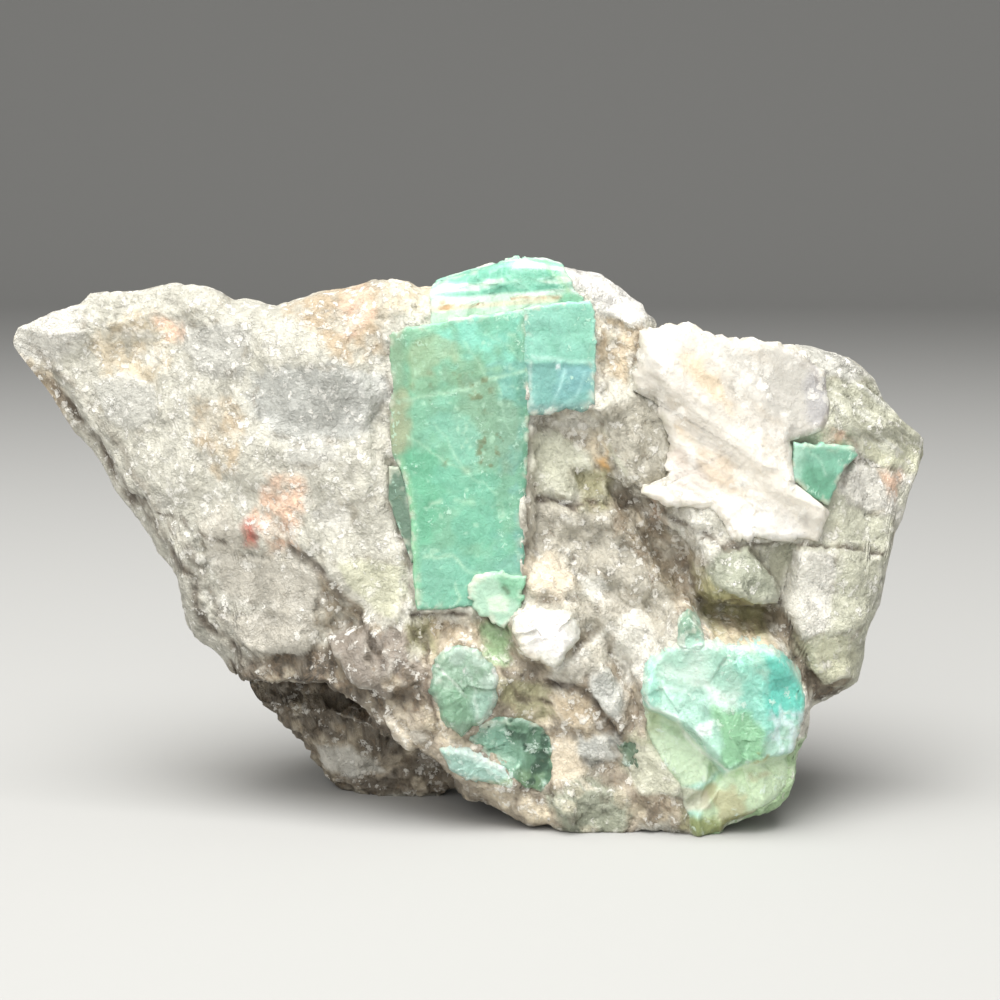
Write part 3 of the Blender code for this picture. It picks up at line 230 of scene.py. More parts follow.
# Where each mineral shows on the front, later entries over earlier ones: outlines in x, z.
ZONES = [
    ("smoky quartz", [(5.2, 33.5), (11.0, 35.5), (16.0, 28.5), (19.3, 22.0), (19.3, 18.7), (15.1, 15.5),
        (7.7, 17.1), (4.4, 18.8)]),
    ("green quartz", [(22.5, 39.7), (40.2, 34.4), (39.7, 29.2), (36.0, 23.7), (32.8, 10.1), (25.7, 11.7),
        (24.9, 23.4), (30.2, 23.5)]),
    ("brown quartz", [(-18.6, 14.1), (-11.4, 15.3), (-3.9, 17.1), (4.4, 18.0), (14.3, 15.5), (15.1, 7.3),
        (14.3, -1.5), (-3.0, 0.1), (-19.9, 5.0)]),
    # painted shade over the set-back foot under the overhang
    ("foot quartz in painted shade", [(-20.4, 13.6), (-17.6, 12.0), (-2.0, 6.2), (-0.7, -0.0), (-11.9, 0.4), (-20.8, 5.9)]),
    ("white quartz", [(-40.0, 39.1), (-39.3, 41.1), (-35.4, 42.5), (-31.9, 43.1), (-32.4, 40.6),
        (-34.3, 38.6), (-37.3, 37.7)]),
    ("pale quartz", [(-33.8, 42.4), (-32.3, 44.0), (-28.3, 44.4), (-24.3, 44.9), (-21.3, 44.4),
        (-19.7, 43.6), (-21.2, 42.4), (-26.9, 42.6), (-30.5, 42.0)]),
    ("cream grains", [(-32.8, 39.3), (-30.5, 41.5), (-26.9, 42.2), (-24.7, 40.7), (-24.9, 37.8),
        (-26.9, 36.1), (-30.5, 36.4)]),
    ("grey quartz", [(-24.1, 41.3), (-19.4, 41.8), (-18.1, 39.6), (-18.9, 36.8), (-22.4, 37.2),
        (-24.4, 39.0)]),
    ("blue quartz", [(-17.7, 37.1), (-13.8, 38.2), (-9.5, 37.9), (-6.7, 37.7), (-6.6, 35.2), (-8.6, 31.9),
        (-13.8, 31.3), (-17.0, 32.4), (-18.4, 35.0)]),
    ("warm grains", [(-15.6, 43.1), (-11.3, 44.5), (-8.0, 45.6), (-6.5, 44.2), (-6.6, 39.3), (-9.6, 38.6),
        (-12.3, 39.6), (-13.9, 41.3)]),
    ("rust grains", [(-10.1, 43.7), (-8.1, 44.2), (-7.6, 41.9), (-9.5, 40.7), (-10.7, 42.1)]),
    ("rust grains", [(-26.5, 41.9), (-24.9, 41.5), (-24.1, 39.7), (-25.3, 39.7)]),
    ("tan grains", [(-22.8, 34.7), (-20.5, 35.3), (-18.4, 33.4), (-18.7, 29.7), (-21.1, 29.0),
        (-22.5, 31.6)]),
    ("white quartz", [(-15.2, 31.1), (-11.3, 32.0), (-10.4, 30.7), (-13.0, 29.6), (-14.8, 29.8)]),
    ("pale quartz", [(-13.8, 26.9), (-10.0, 29.0), (-6.4, 29.5), (-5.1, 22.3), (-4.8, 18.1), (-6.7, 15.8),
        (-9.6, 18.9), (-11.9, 21.7)]),
    ("rust grains", [(-17.3, 27.7), (-15.1, 29.2), (-13.5, 28.6), (-13.2, 26.1), (-14.0, 23.0),
        (-15.9, 22.6), (-17.0, 24.2), (-17.7, 26.2)]),
    ("red grains", [(-18.8, 24.2), (-18.2, 24.9), (-17.5, 24.5), (-17.5, 23.4), (-18.3, 23.0)]),
    ("white quartz", [(-12.8, 25.8), (-11.3, 27.1), (-9.3, 26.1), (-9.6, 24.4), (-11.3, 24.5)]),
    ("glassy quartz", [(-22.4, 24.7), (-19.8, 26.1), (-18.2, 23.5), (-19.3, 21.7), (-21.8, 21.9)]),
    ("glassy quartz", [(-21.1, 21.7), (-17.2, 22.5), (-13.3, 22.2), (-12.1, 20.9), (-13.6, 18.6),
        (-17.6, 17.8), (-20.1, 19.2)]),
    ("brown grains", [(-13.1, 21.2), (-10.1, 20.3), (-8.4, 18.3), (-8.2, 15.5), (-10.9, 15.0),
        (-12.9, 16.5), (-12.5, 18.6)]),
    ("yellow quartz", [(-10.8, 22.0), (-8.8, 22.5), (-5.2, 21.9), (-5.2, 18.4), (-6.2, 17.4),
        (-7.9, 18.2), (-9.6, 20.1)]),
    ("white quartz", [(-20.5, 18.5), (-19.3, 20.4), (-18.4, 18.3)]),
    # painted shade in the cavity over the foot
    ("painted shade and dark grains", [(-17.6, 11.2), (-14.5, 11.0), (-10.6, 10.1), (-7.1, 9.0), (-4.6, 6.8), (-5.8, 5.8),
        (-9.3, 7.3), (-12.8, 8.8), (-16.7, 9.5)]),
    ("glassy quartz", [(-20.7, 17.2), (-17.1, 17.9), (-13.4, 17.6), (-11.3, 15.8), (-13.7, 13.9),
        (-18.1, 13.9)]),
    # painted shade along the lower rim of the wedge's lower tier, over the cavity
    ("painted shade and dark grains", [(-17.5, 13.8), (-13.9, 14.7), (-10.1, 14.1), (-6.5, 10.6), (-11.4, 11.0),
        (-16.5, 12.0)]),
    ("dusty quartz", [(-11.2, 15.6), (-8.3, 17.2), (-4.6, 16.3), (-3.1, 12.6), (-5.7, 11.3), (-9.6, 12.5)]),
    ("painted shade and dark grains", [(-7.2, 13.5), (-3.0, 13.3), (-2.6, 10.4), (-5.4, 10.5)]),
    ("cream grains", [(-3.8, 11.0), (-2.1, 11.0), (-0.0, 9.6), (-0.3, 7.5), (-2.1, 7.7), (-3.4, 9.3)]),
    ("cream quartz", [(-13.8, 5.0), (-10.1, 4.9), (-6.8, 2.7), (-10.6, 1.8), (-12.6, 2.9)]),
    ("cream quartz", [(-6.7, 9.7), (-5.5, 9.6), (-4.2, 6.9), (-6.0, 7.9)]),
    ("cream grains", [(-7.8, 45.8), (-2.8, 45.3), (-2.2, 43.4), (-5.5, 42.2), (-6.8, 40.6), (-7.0, 43.4)]),
    ("white feldspar", [(7.4, 46.5), (9.3, 46.3), (11.6, 45.8), (14.3, 43.9), (15.8, 41.6), (13.4, 40.8),
        (11.0, 41.7), (10.3, 43.4), (8.9, 44.4)]),
    ("tan grains", [(10.8, 42.5), (13.7, 42.2), (14.7, 40.9), (14.2, 38.4), (13.0, 36.1),
        (10.8, 36.6), (10.7, 40.1)]),
    ("white grains", [(10.8, 37.6), (13.8, 36.5), (12.3, 35.0), (10.8, 34.8)]),
    ("green quartz", [(11.4, 35.2), (14.3, 36.0), (16.3, 34.5), (16.9, 31.1), (16.8, 27.5), (15.1, 26.8),
        (13.5, 28.6), (12.0, 30.3), (11.0, 32.7)]),
    ("cream grains", [(5.1, 33.1), (7.7, 33.8), (11.0, 34.4), (11.5, 31.8), (10.5, 30.0),
        (8.5, 31.8), (5.2, 32.5)]),
    ("green quartz", [(5.2, 32.3), (7.7, 32.5), (10.2, 30.8), (10.7, 28.5), (8.5, 26.7),
        (6.1, 27.6), (4.9, 30.2)]),
    ("olive quartz", [(8.7, 29.4), (11.7, 29.5), (11.9, 26.7), (9.4, 26.1)]),
    ("orange grains", [(10.5, 30.4), (11.3, 30.7), (11.7, 29.8), (11.0, 29.2), (10.4, 29.6)]),
    ("brown grains", [(12.1, 27.6), (15.1, 26.8), (18.6, 24.3), (19.7, 18.5), (17.7, 17.6),
        (14.4, 21.8), (12.1, 25.1)]),
    ("white grains", [(15.9, 26.0), (18.4, 26.8), (22.1, 23.6), (19.2, 22.8), (16.9, 23.7)]),
    ("rust grains", [(14.5, 27.8), (15.6, 27.2), (16.6, 24.9), (15.6, 25.4)]),
    ("cream quartz", [(4.7, 22.0), (7.0, 22.5), (9.2, 20.5), (7.8, 19.2), (5.0, 19.6)]),
    ("pale quartz", [(9.3, 20.7), (11.0, 20.8), (11.6, 19.7), (10.3, 18.9), (9.3, 19.6)]),
    ("glassy quartz", [(10.8, 19.2), (14.6, 19.4), (15.4, 16.6), (12.6, 16.5), (10.6, 17.5)]),
    ("white quartz", [(12.1, 17.1), (14.2, 17.8), (15.2, 15.8), (15.0, 13.2), (13.4, 12.6), (11.9, 14.2)]),
    ("blue quartz", [(12.6, 15.0), (13.5, 15.2), (13.7, 13.3), (12.7, 12.9)]),
    ("blue quartz", [(9.8, 13.3), (11.7, 13.6), (12.9, 11.0), (12.2, 9.6), (10.3, 10.4)]),
    ("glassy quartz", [(9.0, 15.2), (11.4, 16.7), (11.9, 13.9), (9.9, 13.3), (7.3, 11.1), (6.7, 12.7)]),
    ("white quartz", [(7.6, 14.1), (9.6, 14.7), (9.9, 13.9), (7.6, 12.2), (6.7, 12.5)]),
    ("tan grains", [(6.7, 11.9), (9.3, 11.5), (10.9, 10.1), (10.1, 8.2), (7.6, 9.3), (6.0, 10.6)]),
    # painted shade in the crevice beside the diagonal grains
    ("painted shade and dark grains", [(6.7, 12.2), (8.9, 11.7), (10.6, 10.8), (11.9, 9.5), (12.6, 7.9),
        (10.6, 8.4), (8.8, 10.9)]),
    ("olive quartz", [(-5.0, 17.4), (-2.5, 17.6), (-2.2, 14.9), (-4.5, 14.8)]),
    ("tan grains", [(-2.5, 17.6), (1.9, 17.6), (2.3, 15.2), (-2.2, 15.2)]),
    ("green tint", [(1.4, 17.3), (3.2, 17.2), (3.4, 14.1), (2.3, 14.0), (1.6, 15.4)]),
    ("olive quartz", [(2.6, 13.0), (6.7, 11.8), (7.7, 9.7), (4.4, 10.0), (2.6, 11.0)]),
    ("blue quartz", [(8.8, 8.2), (12.0, 8.3), (12.4, 6.1), (10.1, 5.6), (8.6, 6.6)]),
    ("cream quartz", [(6.5, 8.0), (8.8, 7.9), (9.6, 5.0), (7.3, 3.9), (6.7, 6.3)]),
    ("yellow quartz", [(13.3, 8.3), (15.7, 7.7), (18.1, 5.4), (17.6, 3.7), (14.1, 3.4), (12.6, 5.6)]),
    ("brown grains", [(11.5, 3.9), (14.9, 3.7), (18.1, 3.4), (18.1, 0.8), (14.9, 0.8), (11.8, 2.2)]),
    ("olive quartz", [(17.4, 2.5), (20.5, 2.5), (20.1, 0.8), (17.6, 0.8)]),
    ("pale quartz", [(17.1, 4.0), (19.8, 3.9), (20.2, 2.2), (18.1, 1.9)]),
    ("sea quartz", [(6.4, 3.9), (10.1, 4.6), (13.1, 3.8), (14.1, 1.8), (12.9, -0.2),
        (10.0, -0.5), (7.6, 0.8)]),
    ("cream grains", [(0.3, 5.0), (3.6, 3.9), (6.4, 3.1), (7.6, 1.2), (5.2, 1.0), (1.1, 3.1)]),
    ("grey quartz", [(26.6, 40.0), (31.0, 39.5), (33.9, 37.2), (33.1, 36.1), (29.4, 36.9), (27.2, 38.4)]),
    ("green quartz", [(30.1, 37.0), (33.7, 36.5), (39.7, 30.9), (37.1, 29.3), (33.0, 31.1), (30.2, 32.5)]),
    ("rust grains", [(29.5, 32.9), (31.3, 33.2), (33.6, 31.7), (32.0, 31.1), (29.9, 31.7)]),
    ("yellow quartz", [(33.2, 31.2), (39.4, 30.1), (38.4, 28.1), (35.0, 29.2)]),
    ("white grains", [(32.2, 30.6), (35.0, 29.2), (37.9, 28.2), (37.1, 23.7), (35.0, 24.7),
        (32.0, 26.7), (31.3, 28.4)]),
    ("rust grains", [(34.4, 29.2), (36.4, 28.5), (36.0, 27.0), (34.6, 27.4)]),
    ("white quartz", [(31.7, 29.7), (34.2, 28.9), (35.6, 26.3), (33.2, 25.6), (31.4, 27.4)]),
    ("green quartz", [(30.7, 26.3), (33.2, 25.9), (35.8, 24.4), (35.6, 22.2), (31.1, 23.0)]),
    ("green quartz", [(23.4, 23.7), (27.4, 23.4), (27.2, 18.2), (25.6, 18.4), (24.4, 20.5)]),
    ("white quartz", [(27.4, 23.0), (30.5, 22.5), (30.0, 17.6), (27.5, 14.7), (26.1, 17.6)]),
    ("green quartz", [(30.5, 22.8), (35.0, 22.0), (34.5, 18.0), (32.5, 15.6), (30.7, 15.3), (30.0, 17.6)]),
    ("cream quartz", [(26.3, 17.7), (27.6, 14.7), (30.4, 11.2), (29.0, 11.2), (26.6, 14.8), (25.6, 17.5)]),
    ("yellow quartz", [(28.5, 15.8), (32.5, 15.8), (32.3, 11.5), (30.1, 11.6)]),
    ("pale quartz", [(19.7, 23.6), (23.3, 23.8), (24.1, 21.9), (22.3, 20.6), (19.7, 21.1)]),
    ("pale olive quartz",
        [(18.7, 21.3), (20.9, 20.7), (23.4, 19.8), (24.9, 18.5), (21.6, 18.2), (18.9, 18.7)]),
    ("pale olive quartz", [(19.5, 18.1), (24.9, 17.8), (25.0, 15.5), (19.8, 15.8)]),
    ("tan grains", [(19.0, 17.0), (25.8, 16.5), (25.6, 15.4), (19.2, 15.8)]),
    ("brown quartz", [(24.7, 18.5), (26.6, 17.6), (28.7, 13.6), (29.0, 11.2), (27.6, 11.3),
        (26.7, 14.6), (25.2, 15.5)]),
    # painted shade under the right lower block
    ("painted shade and dark grains", [(27.6, 12.3), (32.0, 12.0), (32.0, 10.1), (28.2, 10.1)]),
    ("white grains", [(4.9, 34.6), (11.0, 34.8), (11.4, 32.9), (8.0, 32.2), (4.9, 32.4)]),
    ("green tint", [(26.0, 8.0), (29.5, 8.0), (29.0, 0.0), (19.0, -1.5), (19.5, 2.0),
        (24.0, 2.5), (26.0, 5.0)]),
]  # fmt: skip

# Whole grains on the front: mineral, outline in x, z, how proud each stands, its slopes along x and z,
# how broken it is.
BLOCKS = [
    ("sea quartz", [(19.4, 21.5), (20.0, 22.8), (21.3, 23.6), (23.1, 23.7), (24.3, 22.7), (25.2, 21.2),
        (25.8, 19.3), (24.7, 18.7), (23.2, 19.1), (21.9, 19.9), (20.2, 20.4)], 0.50, 0.10, -0.25, 0.35),
    ("white quartz", [(27.0, 23.0), (30.5, 22.6), (30.5, 20.8), (30.0, 18.8), (29.3, 16.5), (27.5, 15.5),
        (26.3, 17.6), (25.8, 19.1)], 0.35, -0.10, 0.00, 0.10),
    ("green quartz", [(30.7, 22.8), (34.8, 22.1), (34.3, 18.2), (32.9, 16.4), (31.7, 15.4), (30.5, 16.1),
        (30.0, 17.9), (30.7, 20.3)], 0.25, 0.15, 0.00, 0.18),
    ("yellow quartz", [(26.5, 17.2), (27.7, 15.2), (29.5, 16.0), (31.9, 15.4), (31.9, 12.1), (29.6, 11.5),
        (27.3, 14.5)], 0.25, 0.00, -0.15, 0.25),
    ("green quartz", [(23.5, 23.4), (27.1, 23.0), (25.8, 18.8), (25.3, 19.7), (24.5, 22.1)], 0.30,
        -0.15, 0.00, 0.12),
    ("smoky quartz", [(11.5, 35.0), (14.3, 35.8), (16.1, 34.2), (16.7, 31.1), (16.6, 27.9), (15.1, 27.1),
        (13.6, 28.8), (12.3, 30.7), (11.3, 32.8)], 0.45, 0.10, -0.05, 0.30),
    ("green quartz", [(5.2, 32.1), (7.4, 32.6), (10.0, 30.8), (10.5, 28.7), (8.7, 26.9), (6.4, 27.6),
        (5.1, 29.8)], 0.60, 0.05, -0.10, 0.30),
    ("olive quartz", [(8.9, 29.3), (11.5, 29.3), (11.7, 26.9), (9.4, 26.2)], 0.70, 0.10, -0.20, 0.20),
    ("cream quartz", [(5.0, 22.0), (7.0, 22.4), (9.1, 20.7), (7.8, 19.3), (5.2, 19.6)], 0.50,
        0.00, -0.20, 0.25),
    ("grey quartz", [(9.3, 20.7), (11.0, 20.9), (11.8, 19.7), (10.5, 18.9), (9.5, 19.4)], 0.50,
        -0.10, 0.10, 0.10),
    ("glassy quartz", [(10.9, 19.2), (14.2, 19.0), (15.2, 17.0), (12.7, 16.3), (10.8, 17.5)], 0.45,
        0.10, 0.15, 0.20),
    ("white quartz", [(12.4, 16.9), (14.2, 17.5), (15.0, 15.5), (14.7, 13.6), (13.2, 12.8), (12.0, 14.3)],
        0.45, -0.12, 0.10, 0.25),
    ("blue quartz", [(9.9, 13.2), (11.6, 13.5), (12.7, 11.2), (12.2, 9.8), (10.4, 10.5)], 0.40,
        0.12, 0.10, 0.20),
    ("glassy quartz", [(9.1, 15.1), (11.2, 16.4), (11.7, 14.2), (9.9, 13.4), (7.6, 11.3), (6.8, 12.6)],
        0.45, 0.00, 0.20, 0.20),
    ("tan grains", [(6.7, 11.5), (9.1, 11.6), (10.9, 9.9), (9.9, 8.3), (7.6, 9.4)], 0.40,
        0.00, -0.15, 0.30),
    ("cream quartz", [(6.8, 8.0), (8.8, 7.8), (9.4, 5.4), (7.5, 4.1), (6.6, 6.2)], 0.35, 0.00, 0.00, 0.30),
    ("blue quartz", [(9.4, 7.8), (11.5, 8.1), (12.0, 6.3), (10.2, 5.7), (9.1, 6.6)], 0.30,
        0.10, 0.00, 0.20),
    ("white quartz", [(32.1, 29.8), (34.3, 29.1), (35.7, 26.2), (33.8, 25.4), (31.7, 27.2)], 0.40,
        -0.15, 0.00, 0.25),
    ("green quartz", [(30.9, 26.1), (33.2, 25.7), (35.7, 24.4), (35.4, 22.4), (31.3, 23.0)], 0.35,
        0.00, -0.10, 0.20),
    ("green quartz", [(30.7, 36.5), (33.5, 36.2), (39.1, 31.1), (37.0, 29.8), (33.3, 31.3), (30.8, 32.7)],
        0.25, 0.05, 0.05, 0.25),
    ("grey quartz", [(26.9, 39.5), (31.0, 39.1), (33.5, 37.2), (32.7, 36.6), (29.6, 37.2), (27.6, 38.2)],
        0.25, 0.00, 0.10, 0.25),
    ("green quartz", [(13.6, 7.9), (15.7, 7.4), (17.9, 5.3), (17.4, 3.8), (14.2, 3.6), (12.9, 5.7)], 0.35,
        0.05, -0.10, 0.25),
    ("pale quartz", [(17.3, 4.0), (19.8, 3.8), (20.1, 2.4), (18.2, 2.1)], 0.50, 0.00, -0.20, 0.20),
    ("glassy quartz", [(-21.4, 21.3), (-19.0, 22.0), (-14.7, 21.9), (-12.0, 20.7), (-11.8, 18.9),
        (-13.8, 17.8), (-17.1, 18.3), (-20.3, 18.5)], 0.30, 0.03, 0.10, 0.12),
    ("glassy quartz", [(-17.1, 17.7), (-15.1, 18.7), (-12.6, 18.3), (-12.8, 16.2), (-15.1, 15.6)], 0.60,
        -0.05, -0.15, 0.15),
    ("glassy quartz", [(-22.2, 24.5), (-19.9, 25.7), (-18.4, 23.5), (-19.4, 21.8), (-21.7, 22.0)], 0.30,
        -0.03, 0.05, 0.12),
    ("glassy quartz", [(-20.3, 16.7), (-17.2, 17.5), (-13.6, 17.2), (-11.9, 15.6), (-13.9, 14.1),
        (-17.8, 14.2)], 0.45, 0.03, -0.05, 0.25),
    ("pale quartz", [(-13.3, 25.0), (-10.3, 26.4), (-6.8, 26.8), (-5.4, 22.3), (-5.1, 18.6), (-6.6, 16.3),
        (-9.4, 19.1), (-11.6, 21.6)], 0.30, 0.03, 0.00, 0.12),
    ("grey quartz", [(-14.7, 31.0), (-11.6, 31.7), (-10.8, 30.7), (-13.0, 29.8), (-14.6, 30.0)], 0.30,
        0.00, -0.15, 0.15),
    ("white quartz", [(-12.6, 26.0), (-11.1, 26.9), (-9.4, 26.0), (-9.8, 24.7), (-11.4, 24.7)], 0.40,
        0.00, -0.10, 0.10),
    ("blue quartz", [(-17.0, 36.7), (-13.8, 37.7), (-9.6, 37.5), (-6.9, 37.3), (-6.9, 35.5), (-8.8, 32.3),
        (-13.5, 31.8), (-16.5, 32.8), (-17.7, 35.1)], 0.22, 0.02, 0.00, 0.06),
    ("grey quartz", [(-23.7, 40.9), (-19.7, 41.4), (-18.6, 39.5), (-19.5, 37.3), (-22.1, 37.6),
        (-23.9, 39.0)], 0.22, -0.02, 0.02, 0.08),
    ("dusty quartz", [(-11.2, 15.6), (-10.0, 16.6), (-8.1, 16.1), (-7.7, 14.9), (-9.4, 14.0),
        (-10.9, 14.5)], 0.60, 0.00, -0.10, 0.30),
    ("dusty quartz", [(-10.4, 14.3), (-7.8, 14.2), (-7.1, 12.2), (-8.7, 12.0), (-10.0, 13.2)], 0.60,
        0.00, -0.10, 0.25),
    ("dusty quartz", [(-7.6, 14.6), (-6.7, 15.0), (-5.7, 14.2), (-6.1, 12.8), (-7.3, 12.9)], 0.80,
        0.10, -0.10, 0.15),
    ("yellow quartz", [(-10.6, 21.8), (-8.8, 22.3), (-5.4, 21.7), (-5.4, 18.6), (-6.2, 17.6), (-7.9, 18.4),
        (-9.5, 20.1)], 0.40, 0.03, 0.00, 0.12),
    ("white feldspar", [(8.0, 45.8), (11.3, 45.3), (13.8, 43.6), (15.1, 41.8), (13.5, 41.2), (11.2, 42.2),
        (10.3, 43.5), (9.0, 44.3)], 0.30, 0.03, 0.10, 0.20),
    ("white quartz", [(-13.5, 4.5), (-10.2, 4.5), (-7.1, 2.5), (-10.5, 1.8), (-12.5, 2.7)], 0.50,
        0.10, 0.10, 0.15),
    ("cream quartz", [(-6.6, 9.4), (-5.6, 9.3), (-4.4, 6.8), (-6.0, 7.7)], 1.20, 0.10, 0.00, 0.10),
    ("pale quartz", [(-33.2, 42.8), (-31.9, 43.7), (-28.3, 43.9), (-24.4, 44.5), (-21.6, 44.2),
        (-20.2, 43.5), (-21.6, 42.8), (-26.9, 42.9), (-30.3, 42.4)], 0.20, 0.00, 0.20, 0.15),
    ("grey quartz", [(-32.0, 36.2), (-29.0, 37.2), (-26.6, 36.0), (-26.2, 33.4), (-28.6, 32.2),
        (-31.0, 33.4)], 0.22, 0.02, 0.02, 0.08),
    ("lemon quartz", [(33.0, 31.5), (36.4, 31.0), (39.0, 30.7), (38.3, 28.7), (35.0, 29.4), (33.1, 30.2)],
        0.30, 0.00, 0.05, 0.15),
    ("white quartz", [(-39.3, 39.4), (-38.7, 40.6), (-35.5, 42.1), (-32.6, 42.7), (-33.2, 40.7),
        (-34.9, 39.2), (-37.3, 38.5)], 0.20, 0.00, 0.05, 0.20),
]  # fmt: skip

# Lines on the front: path in x, z, half width, how deep it cuts, then how much it darkens (a negative value
# whitens). The darkening is a crack's stain, and is also painted shade where a line follows a crevice, a
# pit, an overhang's rim or the foot of the big crystal.
CRACKS_AND_SHADE_LINES = [
    # painted shade along the underside of the wedge's lower-left rim
    ([(-39.5, 38.6), (-35.7, 35.4), (-32.0, 31.2), (-28.9, 26.9), (-25.3, 22.6), (-22.9, 19.4),
        (-22.0, 16.4), (-18.9, 14.1), (-17.0, 11.1)], 0.7, 0.35, 0.75),
    ([(-37.7, 39.1), (-33.3, 35.3), (-30.2, 31.4), (-26.8, 26.9), (-23.4, 22.6), (-21.3, 19.1),
        (-19.9, 16.1)], 0.5, -0.15, 0.30),
    # painted shade along the top edge of the wedge's lower tier
    ([(-14.7, 22.9), (-12.0, 21.0), (-10.0, 19.1), (-7.8, 15.7), (-6.9, 13.4)], 0.5, 0.3, 0.45),
    ([(-6.4, 37.5), (-6.3, 32.0), (-5.4, 25.5), (-4.4, 19.1), (-4.3, 17.6)], 0.35, 0.1, 0.30),
    # painted shade in the crevice
    ([(12.1, 27.4), (14.6, 26.4), (16.7, 23.1), (18.6, 20.6), (19.4, 18.3), (19.5, 17.6)],
        0.55, 0.15, 0.35),
    ([(20.9, 23.5), (23.9, 23.7), (28.6, 23.3), (32.5, 22.8), (35.6, 22.1)], 0.20, 0.22, 0.65),
    # painted shade in the pit under the quartz knob
    ([(19.2, 18.6), (21.5, 18.9), (23.5, 18.1), (24.8, 17.5)], 0.35, 0.2, 0.4),
    # painted shade in the crevice beside the diagonal grains
    ([(6.5, 12.4), (8.9, 11.9), (10.4, 11.0), (11.5, 9.4), (12.3, 8.0)], 0.4, 0.6, 0.85),
    ([(7.6, 14.0), (9.6, 14.7), (11.9, 17.0), (14.2, 17.8)], 0.25, -0.2, -0.8),
    ([(15.0, 15.8), (14.2, 13.6), (12.4, 11.8), (10.9, 9.1)], 0.3, -0.2, -0.7),
    ([(30.7, 22.8), (30.4, 19.4), (29.4, 16.2), (28.5, 14.5)], 0.2, -0.1, -0.5),
    ([(23.4, 23.2), (24.9, 20.6), (26.3, 17.9), (27.5, 14.7), (29.2, 11.5)], 0.3, 0.3, 0.55),
    ([(6.1, 27.3), (9.0, 26.5), (11.0, 26.9), (12.4, 26.2), (14.4, 26.9)], 0.25, 0.35, 0.7),
    ([(14.3, 40.9), (14.0, 39.1), (13.3, 37.1)], 0.4, 0.2, 0.35),
    ([(14.3, 28.0), (15.2, 26.6), (19.2, 24.6), (22.1, 23.3)], 0.35, 0.3, 0.5),
    # painted shadow beneath the lower end of the big crystal
    ([(-4.2, 17.9), (-1.0, 18.0), (2.0, 17.6), (3.6, 16.6)], 0.3, 0.5, 0.9),
    ([(4.9, 33.0), (5.0, 29.0), (4.9, 24.0), (4.9, 20.0)], 0.25, 0.3, 0.3),
    ([(-3.3, 15.4), (-3.5, 12.0), (-2.5, 9.3)], 0.3, 0.3, 0.6),
    ([(3.0, 13.6), (4.0, 11.4), (6.8, 10.6)], 0.3, 0.3, 0.6),
    # painted shade in the cavity over the foot
    ([(-17.9, 10.9), (-14.5, 10.3), (-10.6, 9.5), (-7.1, 8.2), (-4.3, 6.0)], 1.1, 0.6, 0.95),
    ([(-26.0, 25.4), (-22.6, 24.2), (-20.4, 23.0)], 0.3, 0.2, 0.5),
]  # fmt: skip

FIBRES = [(30.5, 37.3), (33.1, 37.2), (35.6, 35.1), (39.3, 31.0), (38.7, 29.7), (35.1, 30.5), (30.4, 34.2)]
LEFT_FOOT = [(-20.4, 12.5), (-17.6, 11.0), (-2.0, 5.5), (-0.7, 0.0), (-11.9, 0.4), (-20.8, 5.9)]

# How square the rock's sections are: the front's upper and lower half, and the back. Then how far each face
# stands out from the edge at least.
FRONT_SQUARE, BACK_SQUARE = (8.0, 4.6), 4.0
LEAST_BULGE = 0.05

# The meshes of the crystals: the step between points of the rim, the gap between rings, the fewest and the
# most rings, and the share by which a crystal narrows towards its back.
RIM_STEP, RING_GAP, RING_COUNTS, TAPER = 0.15, 0.16, (20, 70), 0.04

# The last tint of each crystal, which sets its brightness and hue against the rock.
LAST_TINTS = {
    "prism": (0.885, 0.885, 0.89),
    "side": (0.94, 0.935, 0.965),
    "crown": (0.93, 0.935, 0.92),
    "small": (1.13, 1.04, 1.09),
    "chip": (0.98, 0.95, 0.97),
    "rounded": (0.96, 0.9, 0.93),
    "rim": (0.88, 0.9, 0.9),
    "lower": (1.05, 1.02, 1.05),
    "feldspar": (0.985, 0.975, 0.960),
}

PRISM_OUTLINE = [(-6.5, 40.6), (-4.5, 41.2), (-2.2, 41.7), (1.5, 42.3), (5.1, 42.7), (5.2, 38.8),
    (5.1, 33.4), (4.7, 26.2), (4.8, 20.8), (3.0, 18.3), (0.5, 18.5), (-4.0, 18.2), (-4.2, 19.2),
    (-4.5, 23.4), (-4.8, 27.2), (-5.5, 29.6), (-6.2, 30.8), (-6.4, 35.3)]  # fmt: skip
SIDE_OUTLINE = [(4.7, 42.7), (7.7, 43.2), (10.2, 43.4), (10.5, 42.4), (10.6, 40.1), (10.5, 34.9),
    (9.6, 34.3), (8.2, 34.6), (6.8, 34.0), (4.8, 34.2), (4.7, 36.9)]  # fmt: skip
CHIP_OUTLINE = [(-0.0, 20.4), (1.1, 21.3), (2.8, 21.6), (4.9, 21.1), (4.8, 19.3), (3.8, 17.5), (3.1, 16.9),
    (1.8, 17.7), (0.4, 18.4)]  # fmt: skip
SMALL_OUTLINE = [(26.8, 31.9), (29.6, 31.6), (32.0, 31.1), (32.8, 30.5), (31.4, 29.5), (30.7, 28.1),
    (29.9, 26.6), (28.4, 27.4), (26.8, 28.6)]  # fmt: skip
SLIVER_OUTLINE = [(-6.4, 29.8), (-5.6, 29.8), (-4.6, 27.6), (-3.9, 24.7), (-3.9, 22.4), (-4.5, 22.0),
    (-5.2, 23.9), (-5.8, 25.4), (-6.4, 27.1)]  # fmt: skip
